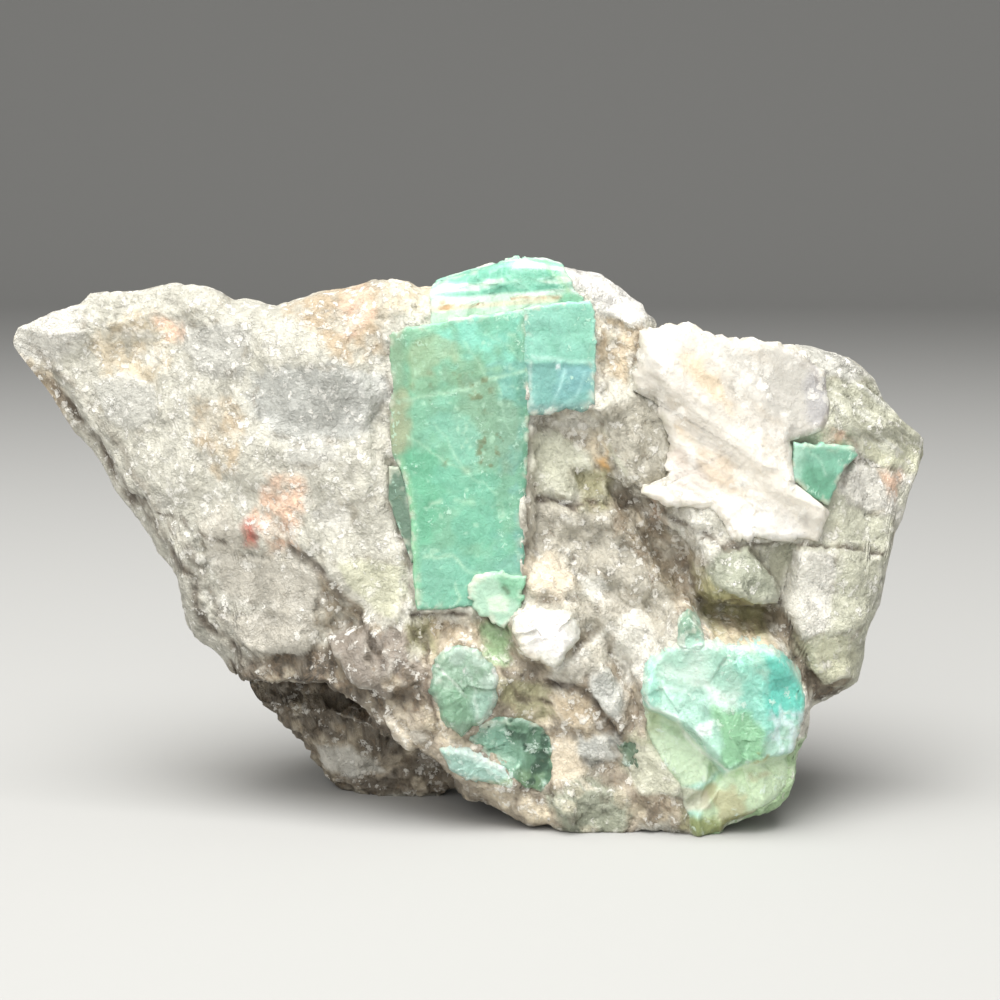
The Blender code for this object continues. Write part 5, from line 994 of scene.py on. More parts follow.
def prism_look(p):
    """Clouded green, brighter at the top and along the left bevel, greyer where stained, with pale
    veins and brown specks."""
    look = plain_look(p, (0.53, 0.765, 0.635), (0.62, 0.30, 0.10))
    x, z = p[..., 0], p[..., 2]
    lay_marks(look, p, [
        (patch, (0.58, 0.885, 0.785), 1.0,
            [(-1.3, 41.9), (4.4, 42.5), (4.5, 37.9), (1.1, 37.7), (-0.9, 39.4)], 2.0, 1),
        (patch, (0.49, 0.77, 0.645), 0.8, [(0.6, 42.3), (3.6, 42.5), (3.6, 40.8), (0.8, 40.6)], 1.2, 2),
        (patch, (0.50, 0.745, 0.68), 0.9,
            [(2.6, 37.6), (5.0, 37.8), (5.0, 19.3), (2.8, 19.3), (3.1, 27.3)], 1.8, 2),
        (patch, (0.54, 0.715, 0.57), 0.8,
            [(-5.0, 38.2), (-0.9, 38.8), (2.1, 38.1), (1.9, 36.0), (-3.0, 35.5), (-5.8, 36.1)], 1.6, 3),
        (patch, (0.54, 0.69, 0.57), 0.8,
            [(-0.5, 36.5), (2.6, 36.5), (4.4, 33.5), (3.6, 30.0), (1.0, 29.5), (-0.5, 33.0)], 1.8, 5),
        (patch, (0.66, 0.735, 0.58), 0.6,
            [(-6.1, 39.6), (-3.2, 40.2), (-1.6, 38.1), (-3.4, 36.8), (-5.9, 37.4)], 2.2, 4),
        (patch, (0.56, 0.79, 0.66), 0.7, [(-6.4, 41), (-1.2, 42), (-1.6, 40.9), (-5.8, 39.9)], 0.8, 14),
        (patch, (0.41, 0.66, 0.55), 0.8, [(-6.5, 38.2), (-5.2, 38.2), (-5.0, 36.4), (-6.5, 36.2)], 0.8, 15),
        (patch, (0.55, 0.80, 0.70), 0.7, [(-3.6, 34.5), (0.2, 34), (0.4, 30.6), (-3.0, 30.8)], 1.6, 16),
        (patch, (0.45, 0.75, 0.60), 0.9, [(-4.6, 31), (-2.6, 31), (-2.4, 24), (-4.2, 22.5)], 1.2, 6),
        (patch, (0.47, 0.76, 0.64), 0.7, [(-1.6, 29), (1.6, 28), (2.6, 23), (-1.0, 22.5)], 1.8, 7),
        (patch, (0.52, 0.775, 0.67), 0.8,
            [(-4.2, 22.7), (-0.9, 22.8), (0.5, 21.5), (0.3, 18.5), (-4.2, 18.3)], 0.9, 8),
        (patch, (0.52, 0.75, 0.64), 0.6, [(0.6, 22), (4.9, 22), (4.9, 18.5), (0.6, 18.5)], 1.2, 17),
    ])
    wash(look, (0.60, 0.72, 0.585),
        0.75 * smooth((-4.6 - x) / 0.8 + 0.5 * clouds(p, 1.4, 79)) * smooth((z - 29.5) / 3))
    lay_marks(look, p, [
        (patch, (0.70, 0.72, 0.585), 0.75,
            [(-6.4, 35.3), (-4.7, 35.6), (-4.5, 33.7), (-5.1, 31.1), (-5.7, 30.5), (-6.6, 31.3)], 1.1, 9),
        (streak, (0.62, 0.84, 0.64), 0.85,
            [(-5.3, 30.3), (-4.75, 28.0), (-4.5, 25), (-4.2, 21.5), (-4.0, 19)], 0.55, 1),
        (streak, (0.36, 0.60, 0.49), 0.65,
            [(4.4, 37.2), (4.6, 34), (4.6, 30), (4.5, 26), (4.6, 21)], 0.45, 2),
        (streak, (0.40, 0.66, 0.55), 0.55, [(3.9, 41.5), (4.1, 38.5), (4.0, 35)], 0.35, 18),
    ])
    for path, width, share in (
        ([(-5.8, 35.0), (-3.8, 35.5), (0.1, 36.2), (1.7, 37.0), (5.1, 37.8)], 0.30, 0.85),
        ([(-3.4, 22.6), (-1.2, 22.6), (0.1, 21.4), (1.9, 21.1), (4.6, 21.0)], 0.28, 0.9),
        ([(-2.8, 27.0), (-2.1, 27.1)], 0.30, 0.9),
        ([(-0.9, 27.2), (0.6, 27.0)], 0.30, 0.8),
        ([(-4.4, 32.1), (-2.1, 30.6), (0.3, 29.7)], 0.22, 0.6),
        ([(-2.6, 33.5), (-1.0, 31.2), (0.6, 29.0), (2.6, 27.8)], 0.20, 0.45),
        ([(-0.2, 40.0), (0.8, 38.6), (1.6, 37.2)], 0.22, 0.5),
        ([(1.6, 40.8), (3.4, 39.8), (4.6, 38.6)], 0.2, 0.4),
        ([(2.4, 37.2), (3.2, 33.8), (4.2, 31.0)], 0.18, 0.35),
        ([(-6.4, 41.0), (-3.6, 41.5), (0.2, 42.1), (5.0, 42.7)], 0.30, 0.9),
        ([(4.9, 42.4), (5.0, 39.0), (5.0, 36.0)], 0.20, 0.5),
        ([(-0.9, 20.4), (-0.4, 19.4), (-0.8, 18.8)], 0.22, 0.8),
    ):
        wash(look, (0.76, 0.92, 0.79), share * streak(p, path, width, 11))
    speck = clouds(p, 0.5, 64, 2)
    for outline, much in (
        ([(0.4, 36.9), (1.9, 36.9), (1.9, 34.6), (0.4, 34.8)], 0.7),
        ([(0.9, 32.6), (3.1, 32.4), (2.7, 30.0), (1.1, 29.9)], 0.7),
        ([(-6.0, 39.6), (-3.4, 40.0), (-3.6, 38.0), (-5.9, 37.6)], 0.45),
        ([(-4.6, 38.2), (1.0, 38.0), (1.0, 36.6), (-4.6, 36.4)], 0.35),
        ([(-1.9, 30.5), (-1.5, 30.5), (-1.5, 30.0), (-1.9, 30.0)], 0.9),
    ):
        wash(look, (0.48, 0.52, 0.37), much * patch(p, outline, 0.9, 12) * smooth(speck * 3 - 0.2))
    wash(look, (0.74, 0.90, 0.78), 0.55 * smooth(clouds(p, 0.7, 68, 3) * 4 - 1.3))
    look[..., :3] *= (1 + 0.07 * clouds(p * np.array((1.6, 1, 0.6)), 2.4, 66))[..., None]
    look[..., :3] *= LAST_TINTS["prism"]
    return look


def side_look(p):
    """Green above the crack and bluer below it, with pale veins and edges."""
    look = plain_look(p, (0.555, 0.80, 0.695), (0.62, 0.25, 0.05))
    lay_marks(look, p, [
        (patch, (0.51, 0.75, 0.635), 0.7, [(7.4, 42.6), (10.8, 42.8), (10.8, 39.0), (8.8, 39.4)], 1.4, 1),
        (patch, (0.49, 0.715, 0.655), 1.0, [(4.0, 38.3), (10.8, 38.3), (10.8, 34.0), (4.0, 34.0)], 0.4, 0),
        (patch, (0.47, 0.68, 0.665), 0.8, [(7.6, 38), (10.8, 38), (10.8, 35.4), (7.6, 35.4)], 1.2, 2),
        (streak, (0.74, 0.90, 0.82), 0.9, [(5.3, 38.8), (6.6, 38.7), (8.2, 38.4), (10.6, 38.4)], 0.26, 3),
        (streak, (0.70, 0.88, 0.83), 0.8, [(6.9, 34.5), (7.6, 36.1), (8.0, 37.8)], 0.24, 4),
        (streak, (0.70, 0.88, 0.83), 0.65, [(7.2, 34.6), (9.0, 35.6), (9.8, 37.6)], 0.22, 8),
        (patch, (0.93, 0.96, 0.93), 0.9, [(7.3, 38.2), (7.7, 38.2), (7.7, 37.8), (7.3, 37.8)], 0.25, 5),
        (streak, (0.80, 0.87, 0.80), 0.8, [(5.3, 38.4), (5.3, 35.6), (5.5, 34.2)], 0.32, 19),
        (patch, (0.45, 0.58, 0.54), 0.7, [(5, 34.9), (10.8, 35.2), (10.8, 33.6), (5, 33.4)], 0.6, 6),
    ])
    wash(look, (0.84, 0.86, 0.80),
        0.8 * patch(p, [(5, 34.9), (10.8, 34.9), (10.8, 33.6), (5, 33.4)], 0.5, 7)
        * smooth(clouds(p, 0.6, 58, 2) * 4))
    lay_marks(look, p, [
        (streak, (0.68, 0.89, 0.79), 0.6, [(5.0, 42.6), (7.7, 43.0), (10.3, 43.2)], 0.4, 7),
        (streak, (0.70, 0.86, 0.76), 0.6, [(10.4, 43.0), (10.5, 38.6), (10.4, 35.2)], 0.3, 17),
        (streak, (0.46, 0.72, 0.60), 0.5, [(6.4, 41.0), (7.2, 39.0)], 0.6, 9),
    ])
    wash(look, (0.72, 0.90, 0.82), 0.5 * smooth(clouds(p, 0.7, 69, 3) * 4 - 1.4))
    look[..., :3] *= (1 + 0.06 * clouds(p, 2.2, 67))[..., None]
    look[..., :3] *= LAST_TINTS["side"]
    return look


def crown_look(p):
    """Stripes across the crown: a cloud drawn out sideways picks aqua or white; below them a pale band
    and a tan line."""
    look = plain_look(p, (0.62, 0.85, 0.765), (0.50, 0.25, 0.05))
    bands = clouds(p * np.array((0.16, 0.6, 1.0)), 0.6, 71, 2)
    tilt = p[..., 2] - 0.075 * p[..., 0]
    wash(look, (0.50, 0.77, 0.68), smooth(-bands * 3))
    wash(look, (0.90, 0.965, 0.92), smooth(bands * 3))
    wash(look, (0.48, 0.76, 0.66),
        0.7 * patch(p, [(3.0, 45.4), (7.0, 45.7), (7.6, 44.9), (3.2, 44.7)], 0.4, 2))
    wash(look, (0.89, 0.975, 0.925), smooth((43.85 - tilt) / 0.35 + 0.15 * clouds(p, 1.2, 72)))
    wash(look, (0.92, 0.90, 0.81), 0.9 * smooth((43.20 - tilt) / 0.3 + 0.3 * clouds(p, 0.9, 73)))
    wash(look, (0.80, 0.62, 0.44),
        0.8 * patch(p, [(-2.2, 43.2), (-1.3, 43.2), (-1.3, 42.4), (-2.2, 42.4)], 0.9, 3)
        * smooth(clouds(p, 0.4, 78) * 4 + 0.6))
    wash(look, (0.55, 0.38, 0.26),
        0.9 * streak(p, [(-0.4, 42.95), (0.9, 42.95), (2.2, 43.05)], 0.22, 4)
        * smooth(clouds(p, 0.45, 74) * 5 + 0.3))
    wash(look, (0.86, 0.68, 0.54), 0.8 * streak(p, [(3.7, 43.45), (8.0, 43.8)], 0.22, 5))
    wash(look, (0.83, 0.945, 0.87), 0.9 * smooth((42.75 - tilt) / 0.2))
    lay_marks(look, p, [
        (streak, (0.62, 0.87, 0.66), 0.8, [(6.4, 46.4), (7.4, 45.0), (8.4, 43.9)], 0.35, 6),
        (patch, (0.56, 0.82, 0.70), 0.8, [(8.0, 43.9), (9.8, 43.8), (9.8, 43.2), (7.6, 43.2)], 0.4, 7),
    ])
    look[..., :3] *= LAST_TINTS["crown"]
    return look


def small_look(p):
    """Deep green, darker in the middle, with a pale left edge and pale veins."""
    look = plain_look(p, (0.455, 0.70, 0.58), (0.62, 0.20, 0.10))
    wash(look, (0.60, 0.80, 0.69), 0.85 * smooth((28.2 - p[..., 0]) / 0.7))
    lay_marks(look, p, [
        (patch, (0.36, 0.60, 0.475), 0.85,
            [(27.6, 30.2), (29.6, 29.9), (30.6, 28.4), (29.6, 27.0), (27.4, 28.2)], 1.0, 0),
        (streak, (0.74, 0.87, 0.76), 0.7, [(28.8, 31.6), (30.6, 31.3), (32.6, 30.7)], 0.3, 2),
        (streak, (0.66, 0.84, 0.73), 0.6, [(28.2, 31.0), (29.2, 30.2), (29.6, 29.0)], 0.3, 3),
    ])
    look[..., :3] *= (1 + 0.08 * clouds(p, 1.4, 59, 3))[..., None]
    look[..., :3] *= LAST_TINTS["small"]
    return look


def chip_look(p):
    """Light green, paler in the middle and along the edges, greener at the top right."""
    look = plain_look(p, (0.66, 0.82, 0.71), (0.55, 0.3, 0.08))
    lay_marks(look, p, [
        (patch, (0.80, 0.91, 0.80), 1.0, [(1.6, 19.4), (3.6, 19.8), (3.4, 18.2), (1.8, 18.2)], 0.5, 0),
        (patch, (0.48, 0.72, 0.57), 0.9, [(2.6, 21.2), (4.9, 21.0), (4.8, 19.2), (3.2, 19.8)], 0.8, 2),
        (streak, (0.80, 0.92, 0.81), 0.8, [(0.2, 20.4), (1.2, 21.0), (2.8, 21.3), (4.8, 21.0)], 0.3, 3),
        (streak, (0.72, 0.86, 0.74), 0.8, [(0.6, 20.0), (0.8, 18.8), (2.4, 17.6)], 0.35, 5),
        (streak, (0.34, 0.42, 0.32), 0.8, [(3.2, 20.4), (3.5, 19.9)], 0.25, 4),
    ])
    look[..., :3] *= LAST_TINTS["chip"]
    return look


def rounded_look(p):
    """Grey green, darker at the left and low down, with pale veins and a sugary top."""
    look = plain_look(p, (0.575, 0.735, 0.62), (0.80, 0.15, 0.05))
    wash(look, (0.50, 0.69, 0.555),
        0.9 * patch(p, [(-2.6, 12.5), (0.2, 12.2), (1.4, 9.4), (-2.0, 9.6)], 1.0))
    wash(look, (0.68, 0.81, 0.73),
        0.8 * patch(p, [(-1.6, 15.8), (2.4, 15.0), (2.6, 12.4), (0.2, 12.8)], 0.9, 2)
        * smooth(0.8 + 1.5 * clouds(p, 0.8, 54, 2)))
    lay_marks(look, p, [
        (patch, (0.60, 0.78, 0.69), 0.8, [(0.4, 12.0), (2.9, 12.2), (2.6, 10.2), (0.8, 9.6)], 0.8, 7),
        (streak, (0.42, 0.555, 0.47), 0.85, [(-2.9, 11.0), (-3.0, 14.0), (-2.4, 15.2)], 0.7, 3),
        (streak, (0.85, 0.93, 0.87), 0.9, [(-1.9, 13.7), (-0.9, 12.4), (0.0, 11.6)], 0.2, 4),
        (streak, (0.76, 0.88, 0.80), 0.7, [(0.4, 13.0), (0.7, 12.0), (0.9, 9.8)], 0.2, 5),
        (streak, (0.86, 0.93, 0.88), 0.7, [(2.3, 15.3), (2.5, 13.4), (2.6, 11.6), (1.4, 9.6)], 0.35, 6),
    ])
    wash(look, (0.87, 0.92, 0.88),
        0.8 * smooth(clouds(p, 0.8, 55, 3) * 4 - 1.0) * smooth((p[..., 2] - 12.0) / 1.5))
    look[..., :3] *= LAST_TINTS["rounded"]
    return look


def dark_look(p):
    """Dark teal with a pale upper edge, blotched dark at the right and flecked pale."""
    look = plain_look(p, (0.49, 0.635, 0.55), (0.72, 0.30, 0.20))
    lay_marks(look, p, [
        (patch, (0.36, 0.49, 0.40), 0.9,
            [(3.6, 9.4), (6.8, 8.8), (7.2, 4.0), (4.6, 4.4), (4.4, 7.0)], 1.2, 0),
        (patch, (0.52, 0.69, 0.61), 0.8, [(1.2, 8.6), (3.6, 9.0), (4.0, 6.4), (1.6, 7.2)], 0.8, 2),
        (patch, (0.46, 0.57, 0.44), 0.8, [(4.4, 5.4), (6.4, 5.0), (6.2, 3.2), (4.0, 3.8)], 0.7, 4),
        (streak, (0.76, 0.85, 0.79), 0.8, [(0.3, 7.9), (1.9, 8.9), (4.4, 9.6), (6.2, 9.2)], 0.4, 3),
    ])
    wash(look, (0.22, 0.32, 0.26),
        0.8 * smooth(clouds(p, 0.9, 72, 2) * 5 - 0.6)
        * patch(p, [(3.8, 9.2), (7, 8.8), (7, 4), (4.4, 4.6)], 1.0))
    wash(look, (0.66, 0.78, 0.70), 0.7 * smooth(clouds(p, 0.7, 56, 3) * 5 - 1.4))
    return look


def rim_look(p):
    """Pale aqua, whiter towards the upper right and greener at the foot."""
    look = plain_look(p, (0.70, 0.83, 0.775), (0.60, 0.25, 0.08))
    wash(look, (0.90, 0.95, 0.92),
        0.9 * smooth((p[..., 2] + 0.42 * p[..., 0] - 6.2) / 0.8 + 0.5 * clouds(p, 1.0, 73)))
    wash(look, (0.60, 0.775, 0.70), 0.8 * smooth((4.9 - p[..., 2]) / 1.0))
    wash(look, (0.70, 0.74, 0.58), 0.8 * patch(p, [(1.8, 4.6), (4.2, 4.8), (4.2, 3.4), (1.8, 3.4)], 0.6, 4))
    look[..., :3] *= LAST_TINTS["rim"]
    return look


def lower_look(p):
    """White at the top left, aqua through the middle, teal and sugary white at the right, yellow-green
    at the foot."""
    look = plain_look(p, (0.655, 0.82, 0.73), (0.70, 0.18, 0.04))
    x, z = p[..., 0], p[..., 2]
    lay_marks(look, p, [
        (patch, (0.79, 0.91, 0.83), 1.0,
            [(15.4, 14.6), (19.4, 15.6), (19.8, 13.0), (17.4, 12.6), (15.2, 13.4)], 1.1, 0),
        (patch, (0.63, 0.85, 0.76), 0.9, [(13.9, 14.2), (15.0, 14.4), (15.6, 11.6), (14.2, 10.8)], 0.7, 17),
        (patch, (0.46, 0.59, 0.50), 1.0, [(17.1, 19), (19.2, 19), (19.2, 16.8), (16.9, 16.8)], 0.8, 2),
        (patch, (0.76, 0.87, 0.80), 0.8, [(19.0, 12.9), (22.6, 12.0), (22.6, 10.6), (19.0, 11.2)], 0.9, 18),
        (patch, (0.58, 0.76, 0.67), 0.8, [(19.4, 16.2), (24.0, 16.2), (23.6, 13.6), (20.0, 13.4)], 1.0, 19),
        (patch, (0.54, 0.80, 0.71), 0.9, [(22.0, 15.0), (24.0, 15.4), (24.4, 9.6), (22.0, 10.4)], 1.6, 3),
        (patch, (0.43, 0.79, 0.705), 1.0,
            [(23.4, 15.6), (25.6, 15.2), (27.2, 12.2), (27.0, 10.3), (24.4, 10.6)], 1.2, 4),
        (patch, (0.62, 0.78, 0.70), 0.9,
            [(16.0, 12.6), (19.2, 12.4), (20.2, 10.2), (18.6, 8.6), (16.6, 10.8)], 0.7, 20),
        (patch, (0.52, 0.72, 0.555), 0.95, [(20.0, 10.9), (23.2, 10.8), (23.6, 7.1), (20.6, 6.8)], 1.1, 5),
    ])
    wash(look, (0.79, 0.90, 0.87),
        0.85 * patch(p, [(24.3, 11.0), (28.8, 10.8), (28.4, 6.6), (24.7, 6.6)], 0.9, 6)
        * smooth(clouds(p, 0.8, 74, 2) * 3 + 0.8))
    lay_marks(look, p, [
        (patch, (0.40, 0.755, 0.66), 0.8,
            [(26.4, 12.4), (28.6, 12.0), (28.8, 10.2), (27.2, 10.4)], 0.5, 16),
        (patch, (0.75, 0.85, 0.715), 1.0,
            [(13.6, 11.3), (15.0, 10.4), (17.2, 9.4), (18.8, 7.8), (20.6, 5.5), (18.2, 4.4), (16.0, 4.0),
                (13.0, 8.5)], 0.5, 7),
        (patch, (0.68, 0.755, 0.60), 0.8, [(14.0, 10.9), (15.6, 10.2), (15.6, 8.6), (14.2, 9.0)], 0.6, 21),
        (patch, (0.77, 0.875, 0.72), 1.0,
            [(20.6, 5.4), (22.4, 6.6), (24.0, 6.9), (28.6, 6.9), (28.6, -1), (19.6, -1),
                (19.0, 3.4)], 0.5, 8),
        (patch, (0.70, 0.69, 0.53), 0.7, [(20.2, 3.8), (23.0, 4.0), (22.6, 1.8), (20.4, 1.8)], 1.8, 22),
        (patch, (0.52, 0.565, 0.36), 0.9, [(17.8, 1.8), (20.2, 2.0), (21.4, -0.5), (17.0, -1)], 0.6, 9),
        (patch, (0.50, 0.52, 0.33), 0.8, [(20.6, 1.6), (23.6, 2.4), (23.6, 1.2), (20.6, -0.2)], 0.4, 23),
        (patch, (0.72, 0.72, 0.62), 0.8, [(17.0, 4.4), (19.6, 4.0), (19.9, 2.6), (17.4, 2.2)], 0.4, 24),
    ])
    wash(look, (0.57, 0.54, 0.30),
        0.85 * patch(p, [(22.9, 7.4), (24.6, 7.4), (24.8, 6.5), (22.9, 6.2)], 0.9, 10)
        * smooth(clouds(p, 0.5, 79) * 4 + 0.6))
    lay_marks(look, p, [
        (streak, (0.90, 0.955, 0.895), 0.95,
            [(14.4, 11.5), (15.7, 10.7), (17.0, 10.0), (18.2, 8.3), (19.6, 7.0), (21.0, 5.5)], 0.30, 11),
        (patch, (0.90, 0.955, 0.91), 0.8, [(18.4, 9.6), (19.9, 10.0), (19.6, 8.9), (18.6, 8.9)], 0.4, 12),
        (streak, (0.86, 0.90, 0.85), 0.6, [(19.3, 16.1), (22.0, 16.1), (25.0, 15.7)], 0.4, 13),
        (streak, (0.88, 0.95, 0.89), 0.7,
            [(15.8, 12.6), (17.6, 12.4), (19.0, 13.2), (20.6, 11.8), (22.0, 11.2)], 0.45, 14),
        (streak, (0.80, 0.90, 0.78), 0.6, [(21.4, 5.8), (22.6, 6.4), (24.4, 6.3), (26.0, 6.6)], 0.3, 15),
    ])
    wash(look, (0.82, 0.83, 0.76),
        0.55 * smooth(1 - inside_distance(x, z, LOWER_OUTLINE) / 0.7)
        * smooth(clouds(p, 0.6, 75, 2) * 3 + 0.3) * (z > 8))
    look[..., :3] *= (1 + 0.05 * clouds(p, 1.8, 76, 3))[..., None]
    look[..., :3] *= LAST_TINTS["lower"]
    return look


def lower_front(x, z):
    """The rock's own front stood a little proud, dropping on the low side of a ridge and broken into
    faces."""
    at = np.stack([x, 0 * x, z], axis=-1)
    drop = patch(at, [(13.0, 11.1), (15.8, 10.4), (17.2, 9.5), (18.8, 7.9), (20.8, 5.2), (17.0, 0.0),
        (12.0, 6.0)], 0.5)
    foot = patch(at, [(20.6, 5.6), (22.4, 6.6), (24.0, 6.9), (29.6, 6.9), (29.6, -2), (19.4, -2),
        (19.0, 3.0)], 0.5)
    nub = patch(at, [(17.0, 19), (19.1, 19), (19.1, 15.8), (16.8, 15.8)], 1.2)
    face = front_edge(x, z) - 0.30 + 0.45 * drop + 0.30 * foot - 0.2 * nub
    return face + 0.18 * broken(at, 3.2, 81) + 0.06 * broken(at, 1.3, 82)


def grain_front(proud, coarse, fine, seed):
    """The rock's own front stood proud, broken into faces of two sizes."""

    def front(x, z):
        at = np.stack([x, 0 * x, z], axis=-1)
        return front_edge(x, z) - proud + coarse * broken(at, 2.6, seed) + fine * broken(at, 1.1, seed + 1)

    return front


def level_front(level, coarse, seed):
    """The plain front face at a level, with slight steps."""

    def front(x, z):
        face = plain_front(x, z) + level
        return face + coarse * facets(x, z, 2.4, seed) + 0.4 * coarse * facets(x, z, 1.0, seed + 1)

    return front


def slab_level(x, z, outline, level, along, upward):
    """A slab's sloping plane: it has its level at the middle of its outline."""
    points = np.array(outline)
    face = plain_front(x, z) + level
    return face + along * (x - points[:, 0].mean()) + upward * (z - points[:, 1].mean())


def feldspar_front(x, z):
    """Cleaved slabs, each nearer than the last, with low sawtooth cleavage steps that run down to the
    right."""
    y = base = slab_level(x, z, *FELDSPAR_SLABS[0])
    at = np.stack([x, 0 * x, z], axis=-1)
    fray = 0.35 * clouds(at, 1.4, 90, 3)
    for slab in FELDSPAR_SLABS[1:]:
        t = smooth((inside_distance(x, z, slab[0]) + fray) / 1.4 + 0.5)
        y = y * (1 - t) + np.minimum(y, slab_level(x, z, *slab)) * t
    smooth_face = patch(at,
        [(19.5, 40.3), (26.6, 39.9), (30.6, 39.1), (30.4, 33.5), (27.4, 32.3), (22.7, 35.3),
            (20.4, 39.2)], 1.0)
    across = 0.55 * x + 0.83 * z + 0.5 * clouds(at, 4.0, 91, 3)
    steps = np.zeros(x.shape)
    for width, height, seed in ((2.3, 0.13, 92), (0.9, 0.05, 93)):
        t = across / width + 0.8 * clouds(at, 3.0 * width, seed, 3)
        edge = t - np.floor(t)
        own = hashed(np.floor(np.stack([t, 0 * t, 0 * t], axis=-1)), seed)[..., 0]
        steps += height * (np.minimum(edge / 0.85, (1 - edge) / 0.15) - 0.5) * (0.6 + 0.8 * own)
    ragged = patch(at, [(20.3, 27.9), (23.9, 27.8), (26.5, 26.4), (28.6, 24.4), (28, 23), (21.0, 23)], 0.8)
    y = y + (1 - 0.9 * smooth_face) * steps
    y = y + 0.28 * ragged * broken(at, 1.3, 95) + 0.10 * broken(at, 2.2, 96)
    rod = patch(at, [(26.0, 28.9), (27.3, 29.2), (30.4, 26.9), (30.0, 25.9), (28.3, 26.7),
        (26.2, 27.6)], 0.25)
    return base + 0.62 * (y - base) - 0.20 * rod


def feldspar_look(p):
    """Near white, warmer along the cleavage at the left, greyer at the right edge, with a few dark
    cracks."""
    look = plain_look(p, (0.90, 0.885, 0.85), (0.45, 0.25, 0.04))
    lay_marks(look, p, [
        (patch, (0.885, 0.88, 0.855), 1.0,
            [(19.5, 40.3), (26.6, 39.9), (30.2, 39.1), (30.0, 33.5), (27.4, 32.3), (22.7, 35.3),
                (20.4, 39.2)], 1.0, 0),
        (patch, (0.92, 0.85, 0.74), 0.8,
            [(17.4, 39.1), (19.0, 38.6), (20.7, 37.6), (21.5, 35.8), (21.3, 34.6), (19.7, 35.4),
                (18.7, 37.0)], 1.2, 2),
        (patch, (0.925, 0.865, 0.77), 0.8,
            [(15.8, 35.5), (16.8, 35.7), (18.2, 34.5), (19.0, 32.9), (18.2, 31.7), (16.8, 33.3)], 1.0, 3),
        (patch, (0.88, 0.82, 0.74), 0.75,
            [(18.5, 31.8), (20.7, 31.6), (22.3, 29.7), (21.9, 28.1), (19.5, 28.4), (18.7, 30.1)], 0.9, 4),
        (patch, (0.86, 0.83, 0.80), 0.9,
            [(16.3, 31.6), (18.2, 31.3), (20.0, 28.5), (19.7, 27.6), (17.0, 27.6)], 0.7, 5),
        (patch, (0.81, 0.81, 0.83), 0.7,
            [(29.6, 38.4), (30.8, 36.3), (30.6, 33.4), (29.9, 32.5), (28.0, 33.4), (28.4, 36.6)], 1.0, 6),
        (patch, (0.94, 0.94, 0.925), 0.8, [(14.2, 41.0), (16.5, 41.1), (16.1, 38.4), (14.3, 38.2)], 1.0, 7),
        (patch, (0.95, 0.945, 0.93), 0.9,
            [(17.9, 32.1), (18.6, 31.6), (18.8, 29.6), (18.1, 29.7)], 0.35, 8),
        (patch, (0.94, 0.935, 0.92), 1.0,
            [(20.3, 27.9), (21.9, 27.6), (25.2, 27.0), (26.5, 25.9), (28.1, 24.2), (27.4, 23.7),
                (22.3, 23.8), (21.1, 26.1)], 0.6, 9),
        (patch, (0.95, 0.94, 0.91), 0.9,
            [(24.2, 29.4), (27.3, 29.0), (29.9, 27.2), (30.4, 26.7), (29.9, 25.9), (28.3, 26.7),
                (25.4, 28.0)], 0.4, 10),
        (patch, (0.79, 0.78, 0.755), 0.9,
            [(26.2, 27.1), (26.9, 26.9), (28.9, 25.7), (29.8, 24.9), (28.7, 24.2), (27.8, 25.0)], 0.4, 11),
        (patch, (0.94, 0.93, 0.91), 0.9,
            [(14.2, 28.1), (15.0, 27.9), (16.8, 27.5), (17.9, 26.5), (15.9, 26.3), (15.0, 27.2)], 0.5, 12),
        (streak, (0.50, 0.36, 0.28), 0.8, [(18.8, 35.9), (19.4, 35.7)], 0.22, 13),
    ])
    for path, width, share in (
        ([(30.1, 35.9), (30.3, 34.6), (29.7, 33.6), (29.4, 32.7), (28.3, 32.1), (27.1, 31.9)], 0.35, 0.8),
        ([(26.6, 39.6), (27.5, 38.5), (28.8, 37.2), (29.7, 35.8)], 0.32, 0.6),
        ([(28.0, 38.6), (29.4, 37.6), (30.4, 36.6)], 0.32, 0.5),
        ([(23.6, 31.4), (22.6, 30.4), (21.6, 29.2), (20.6, 28.2)], 0.16, 0.4),
        ([(19.6, 33.6), (21.4, 32.2), (23.0, 31.0)], 0.2, 0.3),
    ):
        wash(look, (0.62, 0.59, 0.56), share * streak(p, path, width, 14))
    wash(look, (0.965, 0.950, 0.915),
        0.6 * patch(p, [(14.5, 37.5), (16.0, 38.0), (22.0, 33.0), (31.0, 25.5), (28.5, 24.8), (20.0, 31.0),
            (14.0, 36.0)], 1.4, 15))
    # Faint tan lines along the cleavage, and white ones between them.
    across = 0.55 * p[..., 0] + 0.83 * p[..., 2] + 0.6 * clouds(p, 4.0, 91, 3)
    lines = clouds(np.stack([across * 1.5, 0.16 * p[..., 0], 0 * across], axis=-1), 1.0, 97)
    wash(look, (0.88, 0.82, 0.74), 0.20 * smooth(lines * 3 - 0.6) * smooth((27.5 - p[..., 0]) / 5))
    wash(look, (0.95, 0.94, 0.92), 0.5 * smooth(-lines * 3 - 0.4))
    look[..., :3] *= (1 + 0.03 * clouds(p, 2.4, 98, 3))[..., None]
    shade = 1.02 - 0.12 * smooth((p[..., 2] - 28) / 8)
    look[..., :3] *= np.array(LAST_TINTS["feldspar"]) * shade[..., None]
    return look


